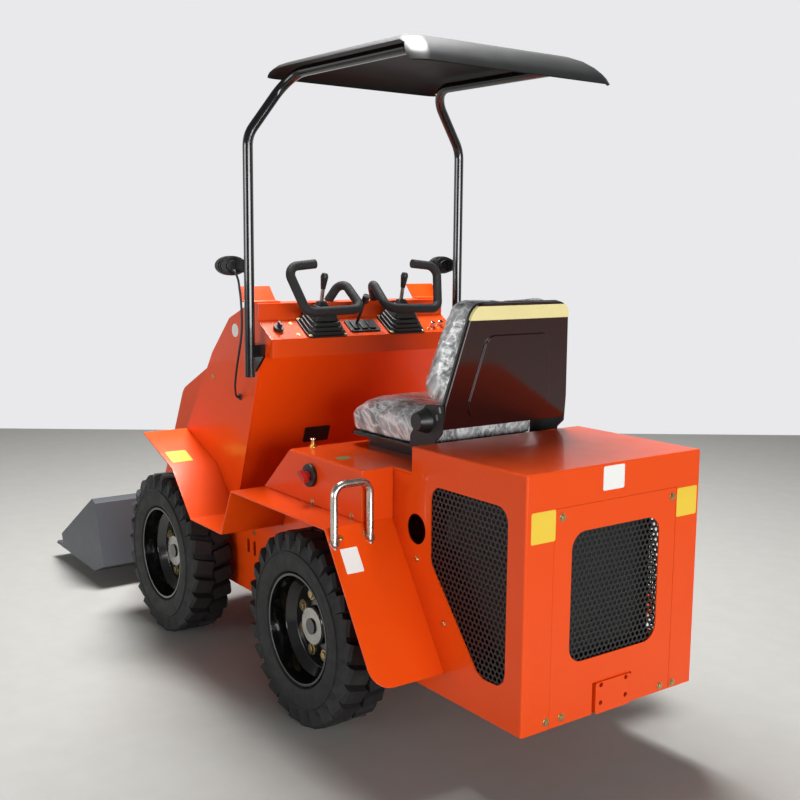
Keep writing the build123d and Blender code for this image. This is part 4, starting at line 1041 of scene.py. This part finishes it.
@dataclass
class Seat:
    """The padded cushions under film, with the tape, screws and dark edge of the back pan."""

    voxel_mm: float = 6.0
    swell_mm: float = 9.0
    frames: int = 18
    crease_mm: float = 1.6
    back_foot: tuple = (445, 908)
    back_height_mm: float = 352.0
    lean_deg: float = 10.7
    back_growth: float = 1.42
    back_belly: float = 0.3
    side_drop_mm: float = 24.0
    front_drop_mm: float = 34.0
    crown_mm: float = 9.0
    nose_mm: float = 18.0
    tape_mm: tuple = (8.0, 46.0)
    pan_mm: float = 8.0
    screws: tuple = ((36, 240), (-50, 243))
    slots: tuple = ((443, 962), (456, 940))
    slot_mm: tuple = (8, 17, 0.6, 3.5)
    slot_y: float = 231.0
    rim_mm: float = 12.0
    seat_box: tuple = field(default_factory=lambda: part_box("seat_cushion"))

    def build(self) -> None:
        """Builds both cushions, the edge of the back, the tape and the screws."""
        seat_floor = (self.seat_box[0], Vector((0, 0, 1)))
        back_floor = (self.on_back(0, 0, 1), self.outward())
        self.cushion("seat_cushion", self.seat_form, FILM, seat_floor)
        self.cushion("backrest_cushion", self.back_form, BACK_FILM, back_floor)
        self.edge()
        self.tape()
        rear = -self.outward()
        places = [facing(self.on_back(y, rise, -self.pan_mm), rear) for y, rise in self.screws]
        scatter(disc("back_screw", 7, 2.5, 20, 1.2), "back_screws", places, CHROME)
        self.recliner_slots()

    def recliner_slots(self) -> None:
        """The bright slots in the recliner plates."""
        made = []
        for side in SIDES:
            for x, z in self.slots:
                slot = sheet_plate(f"recliner_slot_{side}_{x}", *self.slot_mm)
                slot.data.transform(facing(at(x, side * self.slot_y, z), Vector((0, side, 0)), 20 * side))
                made.append(slot)
        dress(joined(made, "recliner_slots"), STEEL)

    def outward(self) -> Vector:
        """The direction in which the back's cushion faces.

        Returns:
            The unit vector.
        """
        lean = math.radians(self.lean_deg)
        return Vector((math.cos(lean), 0, math.sin(lean)))

    def on_back(self, y: float, rise: float, depth: float) -> Vector:
        """A point of the back.

        Args:
            y: distance to the left of the middle, in millimetres.
            rise: distance up the back from its foot.
            depth: distance in front of the pan's front face.

        Returns:
            The point in metres.
        """
        lean = math.radians(self.lean_deg)
        upward = Vector((-math.sin(lean), 0, math.cos(lean)))
        return at(self.back_foot[0], y, self.back_foot[1]) + (upward * rise + self.outward() * depth) * MM

    def seat_form(self, co: Vector, normal: Vector) -> Vector:
        """Rounds the seat's front and sides and crowns its middle.

        Args:
            co: a point of the cushion.
            normal: its normal, which isn't used.

        Returns:
            The point's move.
        """
        low, high = self.seat_box
        middle = (low + high) / 2
        across = abs(co.y - middle.y) / ((high.y - low.y) / 2)
        ahead = (co.x - middle.x) / ((high.x - low.x) / 2)
        height = max(0.0, (co.z - low.z) / (high.z - low.z))
        drop = self.side_drop_mm * max(0.0, (across - 0.55) / 0.45) ** 2
        drop += self.front_drop_mm * max(0.0, (ahead - 0.45) / 0.55) ** 2
        crown = self.crown_mm * (1 - min(1.0, across) ** 2) * (1 - min(1.0, abs(ahead)) ** 2)
        reach = Vector((self.nose_mm * height if ahead > 0.6 else 0, 0, 0))
        return (reach + Vector((0, 0, (crown - drop) * height))) * MM

    def back_form(self, co: Vector, normal: Vector) -> Vector:
        """Thickens the back's pad, most of all in the middle of its height, and draws it in at the top.

        Args:
            co: a point of the pad.
            normal: its normal, which isn't used.

        Returns:
            The point's move.
        """
        depth = (co - self.on_back(0, 0, 0)).dot(self.outward())
        rise = (co.z - self.back_foot[1] * MM) / (self.back_height_mm * MM)
        belly = math.sin(math.pi * min(max(rise, 0.0), 1.0)) - max(0.0, rise - 0.8)
        return self.outward() * depth * (self.back_growth + self.back_belly * belly - 1)

    def cushion(self, node: str, form: Callable[[Vector, Vector], Vector], film: Finish,
                floor: tuple[Vector, Vector]) -> None:
        """A padded piece from a soft CAD solid: remeshed, shaped, blown up by cloth, creased and smoothed.

        Args:
            node: the CAD node that it stands for.
            form: the rule that shapes it.
            film: its finish.
            floor: a point and the normal of the plane that it stays in front of.
        """
        pad = node_copy(node, f"{node}_padded")
        apply_modifier(pad, "REMESH", mode="VOXEL", voxel_size=self.voxel_mm * MM)
        sculpt(pad, form)
        apply_modifier(pad, "SMOOTH", factor=0.6, iterations=6)
        self.inflate(pad)
        self.crease(pad, *floor)
        apply_modifier(pad, "SUBSURF", levels=1, render_levels=1)
        take(pad)
        bpy.ops.object.shade_smooth()
        dress(pad, film, "machine", [node])

    def inflate(self, pad: bpy.types.Object) -> None:
        """Blows the pad up with a short cloth simulation and caps each point's move.

        Args:
            pad: the pad.
        """
        start = [vert.co.copy() for vert in pad.data.vertices]
        take(pad)
        cloth = pad.modifiers.new("cloth", "CLOTH")
        cloth.settings.use_pressure = True
        cloth.settings.uniform_pressure_force = 4
        cloth.settings.effector_weights.gravity = 0
        cloth.point_cache.frame_start = 1
        cloth.point_cache.frame_end = self.frames
        scene = bpy.context.scene
        for number in range(1, self.frames + 1):
            scene.frame_set(number)
        bpy.ops.object.modifier_apply(modifier=cloth.name)
        cap = self.swell_mm * MM
        for vert, before in zip(pad.data.vertices, start):
            move = vert.co - before
            if move.length > cap:
                vert.co = before + move * (cap / move.length)
        scene.frame_set(1)

    def crease(self, pad: bpy.types.Object, foot: Vector, upward: Vector) -> None:
        """Draws the film's slanting creases into the surface and keeps the pad off the plate behind it.

        Args:
            pad: the pad.
            foot: a point of the plate.
            upward: the plate's normal.
        """

        def shift(co: Vector, normal: Vector) -> Vector:
            """The move of one point.

            Args:
                co: the point.
                normal: its normal.

            Returns:
                The move.
            """
            along = Vector((co.x * 9 + co.y * 14, co.y * 52 - co.x * 30 + co.z * 18, co.z * 46))
            ridge = 1 - abs(noise.noise(along)) * 2.4
            new = co + normal * self.crease_mm * MM * ridge
            sunk = min(0.0, (new - foot).dot(upward))
            return new - upward * sunk - co

        sculpt(pad, shift)

    def edge(self) -> None:
        """The dark moulded edge between the back's pan and its pad."""
        rim = node_copy("backrest_shell", "backrest_edge")
        rim.data.transform(Matrix.Translation(self.outward() * self.rim_mm * MM))
        dress(soften(rim, 2.0), PLASTIC)

    def tape(self) -> None:
        """A blank strip of masking tape over the top of the back's pan, wrapped a little over its edges."""
        tape = node_copy("backrest_shell", "back_tape")
        upward = self.on_back(0, 1000, 0) - self.on_back(0, 0, 0)
        with editing(tape):
            for below, keep in ((self.tape_mm[0], 1), (self.tape_mm[1], -1)):
                bpy.ops.mesh.select_all(action="SELECT")
                level = self.on_back(0, self.back_height_mm - below, 0)
                bpy.ops.mesh.bisect(plane_co=level, plane_no=upward * keep, clear_outer=True, use_fill=True)
        with editing(tape):
            bpy.ops.mesh.select_all(action="SELECT")
            bpy.ops.transform.shrink_fatten(value=0.6 * MM)
        dress(soften(tape, 0), TAPE)


@dataclass
class Lamps:
    """The work lamps, pressed to ovals as wide as the CAD housings."""

    height_share: float = 0.6

    def build(self) -> None:
        """Replaces the housings and lenses by their oval copies."""
        for node, edge, finish in (("work_lamps", 0.8, PLASTIC), ("lamp_lenses", 0.6, LENS)):
            low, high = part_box(node)
            middle = (low.z + high.z) / 2
            lamp = node_copy(node, f"{node}_dressed")
            sculpt(lamp, lambda co, normal: Vector((0, 0, (middle - co.z) * (1 - self.height_share))))
            dress(soften(lamp, edge), finish, "machine", [node])


@dataclass
class Controls:
    """The bellows of the joysticks, their rods, the rocker switches and the dash's small fittings."""

    middle: tuple = (1167.0, 1136.5)
    slope_deg: float = 32.6
    stick_y: float = 160.0
    # Bellows rings: rise over the middle of the dash, height, length, width, upper share and share of the slope
    rings: tuple = ((4, 12, 100, 142, 0.94, 1.0), (15, 12, 94, 130, 0.92, 0.95), (26, 12, 86, 116, 0.9, 0.85),
                    (37, 20, 78, 102, 0.74, 0.65), (56, 18, 56, 72, 0.66, 0.35), (73, 15, 36, 44, 0.6, 0.1))
    stick_lean_deg: float = 13.0
    stick_foot_z: float = 1220.0
    plate_mm: tuple = (108, 150, 6)
    rocker_mm: tuple = (44, 24, 5)
    rocker_pitch: float = 32.0
    # Bolts from the middle of each bellows plate, and bolts and plugs on the dash: up the slope and to the left
    plate_bolts: tuple = ((-46, -66), (-46, 66), (46, -66), (46, 66))
    dash_bolts: tuple = ((-30, 262), (30, 262), (-30, -262))
    plugs: tuple = ((-14, -286), (-10, -322))
    # The lip under the dash: its section and half length
    lip: tuple = ((1124, 1108), (1126, 1050), (1162, 1058))
    lip_half: float = 365.0

    def build(self) -> None:
        """Builds the bellows, sticks, lip, rockers and bolts."""
        self.bellows()
        self.sticks()
        self.dash_lip()
        rockers = []
        for i in (-1, 0, 1):
            rocker = sheet_plate(f"rocker_{i}", *self.rocker_mm, 3)
            rocker.data.transform(self.on_dash(0, self.rocker_pitch * i, self.rocker_mm[2]))
            rockers.append(rocker)
        dress(soften(joined(rockers, "rocker_switches"), 1.5), BOOT)
        bolts = [self.on_dash(ahead, side * self.stick_y + y, self.plate_mm[2])
                 for side in SIDES for ahead, y in self.plate_bolts]
        bolts += [self.on_dash(ahead, y, 0) for ahead, y in self.dash_bolts]
        scatter(hex_bolt("dash_bolt", 4.6), "dash_bolts", bolts, ZINC)
        plugs = [self.on_dash(ahead, y, 0) for ahead, y in self.plugs]
        scatter(disc("dash_plug", 9, 16, 20, 2), "dash_plugs", plugs, CHROME)

    def on_dash(self, ahead: float, y: float, rise: float) -> Matrix:
        """A place on the sloping dash.

        Args:
            ahead: distance up the slope from its middle, in millimetres.
            y: distance to the left.
            rise: distance over the sheet.

        Returns:
            The place, with +Z off the sheet and +X up the slope.
        """
        turn = Matrix.Rotation(-math.radians(self.slope_deg), 4, "Y")
        return Matrix.Translation(at(self.middle[0], y, self.middle[1])) @ turn @ Matrix.Translation(
            Vector((ahead, 0, rise)) * MM)

    def bellows(self) -> None:
        """Square rubber bellows on their plates, in steps that narrow upward."""
        parts = []
        for side in SIDES:
            for rise, height, length, width, share, slope in self.rings:
                ring = sheet_plate(f"bellows_{side}_{rise}", length, width, height, 0.2 * length)
                top = height * MM / 2
                sculpt(ring, lambda co, n: Vector((co.x, co.y, 0)) * (share - 1) if co.z > top else Vector())
                foot = at(self.middle[0], side * self.stick_y, self.middle[1] + rise)
                turn = Matrix.Rotation(-math.radians(self.slope_deg * slope), 4, "Y")
                ring.data.transform(Matrix.Translation(foot) @ turn)
                parts.append(ring)
            plate = sheet_plate(f"bellows_plate_{side}", *self.plate_mm, 14)
            plate.data.transform(self.on_dash(0, side * self.stick_y, 0))
            parts.append(plate)
        dress(soften(joined(parts, "boot_bellows"), 2.5, segments=3), BOOT, "machine", ["control_boots"])

    def sticks(self) -> None:
        """The joysticks and their rods, which lean a little to the driver."""
        lean = Matrix.Rotation(-math.radians(self.stick_lean_deg), 4, "Y")
        foot = at(self.middle[0], 0, self.stick_foot_z)
        place = Matrix.Translation(foot) @ lean
        knobs = node_copy("joysticks", "joysticks_dressed")
        knobs.data.transform(place @ Matrix.Translation(-foot))
        dress(soften(knobs, 1.0), PLASTIC, "machine", ["joysticks"])
        rods = [place @ Matrix.Translation((0, side * self.stick_y * MM, 0)) for side in SIDES]
        scatter(disc("stick_rod", 6.6, 46, 16, 0.5), "stick_rods", rods, SHAFT)

    def dash_lip(self) -> None:
        """The upright lip under the dash's rear edge."""
        dress(soften(prism("dash_lip", self.lip, self.lip_half), 2.0), ORANGE)


@dataclass
class Wheels:
    """Tyres with rounded lugs, dished rims, nuts and hub discs."""

    nut_count: int = 8
    nut_circle_mm: float = 92.0
    nut_radius_mm: float = 13.0
    ring_radius_mm: float = 230.0
    ring_mm: float = 3.2
    lug_edge_mm: float = 3.0
    disc_in_mm: float = 4.0
    hub_disc_mm: tuple = (55, 3)
    hub_disc_out_mm: float = 22.0

    def build(self) -> None:
        """Builds the four wheels."""
        for corner in CORNERS:
            self.wheel(corner)

    def wheel(self, corner: str) -> None:
        """One wheel's tyre, rim, nuts and hub disc.

        Args:
            corner: the wheel's place, such as "rear_left".
        """
        body = f"wheel_{corner}"
        side = LEFT if corner.endswith("left") else RIGHT
        tyre = node_copy(f"tyre_{corner}", f"tyre_{corner}_dressed")
        soften(tyre, self.lug_edge_mm)
        dress(tyre, TYRE, body, [f"tyre_{corner}"])
        rim = node_copy(f"rim_{corner}", f"rim_{corner}_dressed")
        soften(rim, 1.5)
        dress(rim, RIM_ENAMEL, body, [f"rim_{corner}"])
        low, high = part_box(f"tyre_{corner}")
        hub = (low + high) / 2
        outward = Vector((0, side, 0))
        self.fittings(corner, hub, outward, body)
        self.ring(corner, hub, (high.y - low.y) / 2, body)

    def ring(self, corner: str, hub: Vector, half: float, body: str) -> None:
        """The raised ring on both sidewalls.

        Args:
            corner: the wheel's place.
            hub: the wheel's middle.
            half: half of the tyre's width.
            body: the wheel's body.
        """
        rings = []
        for side in SIDES:
            bpy.ops.object.select_all(action="DESELECT")
            bpy.ops.mesh.primitive_torus_add(
                location=hub + Vector((0, side * (half - 0.5 * MM), 0)), rotation=(math.pi / 2, 0, 0),
                major_radius=self.ring_radius_mm * MM, minor_radius=self.ring_mm * MM, major_segments=96,
                minor_segments=10)
            rings.append(added(f"sidewall_ring_{corner}_{side}"))
        dress(soften(joined(rings, f"sidewall_rings_{corner}"), 0), TYRE, body)

    def fittings(self, corner: str, hub: Vector, outward: Vector, body: str) -> None:
        """The nuts on their circle, and the hub's disc.

        Args:
            corner: the wheel's place.
            hub: the wheel's middle.
            outward: the direction away from the machine.
            body: the wheel's body.
        """
        face = hub - outward * self.disc_in_mm * MM
        nut = hex_bolt("nut", self.nut_radius_mm)
        places = []
        for i in range(self.nut_count):
            angle = 2 * math.pi * (i + 0.5) / self.nut_count
            arm = Vector((math.cos(angle), 0, math.sin(angle))) * self.nut_circle_mm * MM
            places.append(facing(face + arm, outward, 17 * i))
        scatter(nut, f"wheel_nuts_{corner}", places, ZINC, body)
        cap = disc(f"hub_disc_{corner}", *self.hub_disc_mm, 40, 1.2)
        cap.data.transform(facing(face + outward * self.hub_disc_out_mm * MM, outward))
        dress(soften(cap, 0), SHAFT, body)


@dataclass
class Fittings:
    """Small fittings and blank labels of the fenders, side boxes and tower."""

    bolt_radius_mm: float = 6.0
    # Bolts on upright sheets of the left side, mirrored to the right: x, y and z
    side_bolts: tuple = ((800, 420, 664), (591, 420, 664), (429, 315, 564), (308, 315, 417), (1349, 315, 432),
                         (1537, 370, 951), (1262, 378, 1030), (1262, 378, 1076))
    foot_bolts: tuple = ((526, 500, 626), (534, 420, 626))
    foot_mm: float = 5.0
    flap_normal: tuple = (-373, 0, 241)
    fender_normal: tuple = (-90, 0, 240)
    grommet: tuple = (1336, 370, 905)
    knee_plate_mm: tuple = (100, 56, 3)
    knee: tuple = (1289, 106, 764)
    knee_normal: tuple = (-0.947, 0, -0.322)
    oval: tuple = (719, 365, 800)
    tap: tuple = (913, 348, 800)
    tap_mm: float = 23.0

    def build(self) -> None:
        """Builds the labels, bolts, grommets, knee plate and tap."""
        self.labels()
        places = [facing(at(x, side * y, z), Vector((0, side, 0)), x)
                  for x, y, z in self.side_bolts for side in SIDES]
        scatter(hex_bolt("side_bolt", self.bolt_radius_mm), "side_bolts", places, ZINC)
        x, y, z = self.grommet
        grommets = [facing(at(x, side * y, z), Vector((0, side, 0))) for side in SIDES]
        scatter(disc("grommet", 11, 5, 28, 2), "lead_grommets", grommets, PLASTIC)
        plate = sheet_plate("knee_plate", *self.knee_plate_mm, 5)
        plate.data.transform(facing(at(*self.knee), Vector(self.knee_normal)))
        dress(soften(plate, 0.8), PLASTIC)
        self.box_top()
        flap = Vector(self.flap_normal).normalized()
        feet = [facing(at(x, side * y, z) + flap * self.foot_mm * MM, flap)
                for x, y, z in self.foot_bolts for side in SIDES]
        scatter(hex_bolt("foot_bolt", 5.5), "handle_foot_bolts", feet, ZINC)

    def box_top(self) -> None:
        """The blank oval label and the tap on the left side box."""
        up = Vector((0, 0, 1))
        oval = sheet_plate("label_box_oval", 30, 46, 0.6, 14.5)
        oval.data.transform(facing(at(*self.oval), up))
        dress(oval, GREEN_STOCK)
        stack = [hex_bolt("tap_nut", 9), disc("tap_post", 5, 24, 20, 1), disc("tap_collar", 7, 12, 24, 1.5)]
        foot = at(*self.tap)
        scatter(joined(stack, "tap"), "box_tap", [facing(foot, up)], BRASS)
        scatter(disc("tap_top", 8, 5, 24, 2), "tap_handle", [facing(foot + up * self.tap_mm * MM, up)], CHROME)

    def labels(self) -> None:
        """Blank label stock on the flap, the front fender and the tower."""
        flap = Vector(self.flap_normal).normalized()
        front = Vector(self.fender_normal).normalized()
        left = Vector((0, 1, 0))
        for name, finish, size, corner, point, normal, spin in (
            ("label_flap", WHITE_STOCK, (70, 54), 3, at(491, 484, 573), flap, 90),
            ("label_front_fender", YELLOW_STOCK, (76, 72), 4, at(1584, 481, 676), front, 0),
            ("label_tower_disc", WHITE_STOCK, (44, 44), 20, at(1368, 370, 1123), left, 0),
        ):
            plate = sheet_plate(name, *size, 0.5, corner)
            plate.data.transform(facing(point, normal, spin))
            dress(plate, finish)


@dataclass
class Studio:
    """Camera at the photograph's angle, a pale floor and soft light."""

    camera_at: tuple = (-3.2804, 2.0148, 1.3985)
    right: tuple = (-0.58638, -0.81004, 0.00847)
    up: tuple = (0.1185, -0.07543, 0.99010)
    view: tuple = (0.80135, -0.58155, -0.14021)
    lens_mm: float = 48.43
    sensor_mm: float = 36.0
    floor_far: float = 4.3
    floor_half: float = 9.0
    floor_colour: str = "#a6a5a1"
    wall_colour: str = "#e9e9eb"
    sky_strength: float = 0.08
    ceiling_share: float = 0.2
    back_share: float = 0.3

    def build(self) -> None:
        """Builds the camera, floor, world and lamps."""
        self.camera()
        self.floor()
        self.world()
        self.lamps()
        bpy.context.scene.view_settings.view_transform = "Standard"

    def camera(self) -> None:
        """The camera that was solved from the photograph."""
        data = bpy.data.cameras.new("photo_camera")
        data.lens = self.lens_mm
        data.sensor_width = self.sensor_mm
        data.sensor_fit = "HORIZONTAL"
        obj = bpy.data.objects.new("photo_camera", data)
        axes = (Vector(self.right), Vector(self.up), -Vector(self.view))
        turn = Matrix([[axis[row] for axis in axes] for row in range(3)]).to_4x4()
        obj.matrix_world = Matrix.Translation(Vector(self.camera_at)) @ turn
        bpy.context.scene.collection.objects.link(obj)
        bpy.context.scene.camera = obj

    def floor(self) -> None:
        """A pale, dull floor that ends where the wall begins in the photograph."""
        ahead = Vector((self.view[0], self.view[1], 0)).normalized()
        bpy.ops.object.select_all(action="DESELECT")
        bpy.ops.mesh.primitive_plane_add(
            size=2 * self.floor_half, location=ahead * (self.floor_far - self.floor_half),
            rotation=(0, 0, math.atan2(ahead.y, ahead.x)))
        floor = added("floor")
        coating = Finish("floor_epoxy", "orange_paint", self.floor_colour, 0.55, "#b2b4b2", ior=1.2, relief_mm=0.0)
        floor.data.materials.append(coating.material())

    def world(self) -> None:
        """Even light all round, which the camera and reflections see as the pale wall."""
        world = bpy.data.worlds.new("studio")
        bpy.context.scene.world = world
        world.use_nodes = True
        tree = world.node_tree
        tree.nodes.clear()
        path = add_node(tree, "ShaderNodeLightPath")
        seen = add_node(tree, "ShaderNodeMath", {"operation": "ADD", "use_clamp": True}, {
            0: path.outputs["Is Camera Ray"], 1: path.outputs["Is Glossy Ray"]})
        shown = add_node(tree, "ShaderNodeMath", {"operation": "ADD", "use_clamp": True}, {
            0: seen.outputs[0], 1: path.outputs["Is Transmission Ray"]})
        light = add_node(tree, "ShaderNodeBackground", inputs={
            "Color": hex_to_linear("#f6f5f3"), "Strength": self.sky_strength})
        reflected = add_node(tree, "ShaderNodeMath", {"operation": "MULTIPLY"}, {
            0: path.outputs["Is Glossy Ray"], 1: self.dimming(tree)})
        strength = add_node(tree, "ShaderNodeMath", {"operation": "SUBTRACT"}, {0: 1.0, 1: reflected.outputs[0]})
        wall = add_node(tree, "ShaderNodeBackground", inputs={
            "Color": hex_to_linear(self.wall_colour), "Strength": strength.outputs[0]})
        mixed = add_node(tree, "ShaderNodeMixShader", inputs={
            0: shown.outputs[0], 1: light.outputs[0], 2: wall.outputs[0]})
        add_node(tree, "ShaderNodeOutputWorld", inputs={"Surface": mixed.outputs[0]})

    def dimming(self, tree: bpy.types.NodeTree) -> bpy.types.NodeSocket:
        """How much darker than the wall a reflection is: the ceiling and the room behind the camera are dark.

        Args:
            tree: the world's node tree.

        Returns:
            The share that is taken off.
        """
        way = add_node(tree, "ShaderNodeTexCoord").outputs["Generated"]
        height = add_node(tree, "ShaderNodeSeparateXYZ", inputs={0: way}).outputs["Z"]
        above = add_node(tree, "ShaderNodeMapRange", {"interpolation_type": "SMOOTHSTEP"}, {
            "Value": height, "From Min": 0.1, "From Max": 0.6, "To Min": 0.0, "To Max": 1 - self.ceiling_share})
        ahead = add_node(tree, "ShaderNodeVectorMath", {"operation": "DOT_PRODUCT"}, {0: way, 1: self.view})
        behind = add_node(tree, "ShaderNodeMapRange", {"interpolation_type": "SMOOTHSTEP"}, {
            "Value": ahead.outputs["Value"], "From Min": 0.4, "From Max": -0.3, "To Min": 0.0,
            "To Max": 1 - self.back_share})
        return add_node(tree, "ShaderNodeMath", {"operation": "MAXIMUM"}, {
            0: above.outputs[0], 1: behind.outputs[0]}).outputs[0]

    def lamps(self) -> None:
        """Soft lamps: one overhead, and low panels behind the machine and on its left."""
        for name, place, target, size, power in (
            ("top_lamp", (0.45, -0.45, 5.0), (0.1, -0.1, 0.0), (1.9, 1.9), 500),
            ("rear_panel_lamp", (-9.0, 1.0, 1.5), (0.0, 0.2, 0.85), (6.0, 2.0), 560),
            ("left_panel_lamp", (0.6, 14.0, 2.3), (0.2, 0.0, 0.85), (9.0, 3.0), 660),
        ):
            data = bpy.data.lights.new(name, "AREA")
            data.shape = "RECTANGLE"
            data.size, data.size_y = size
            data.energy = power
            obj = bpy.data.objects.new(name, data)
            aim = Vector(target) - Vector(place)
            turn = aim.to_track_quat("-Z", "Y").to_matrix().to_4x4()
            obj.matrix_world = Matrix.Translation(Vector(place)) @ turn
            bpy.context.scene.collection.objects.link(obj)


def main() -> None:
    """Builds the sub-assemblies in order, then the studio."""
    logging.basicConfig(level=logging.INFO, format="%(name)s: %(message)s")
    for assembly in (Bodywork, EngineBox, Canopy, Lamps, Seat, Controls, Wheels, Fittings, Studio):
        LOG.info("building %s", assembly.__name__)
        assembly().build()


if __name__ == "__main__":
    main()
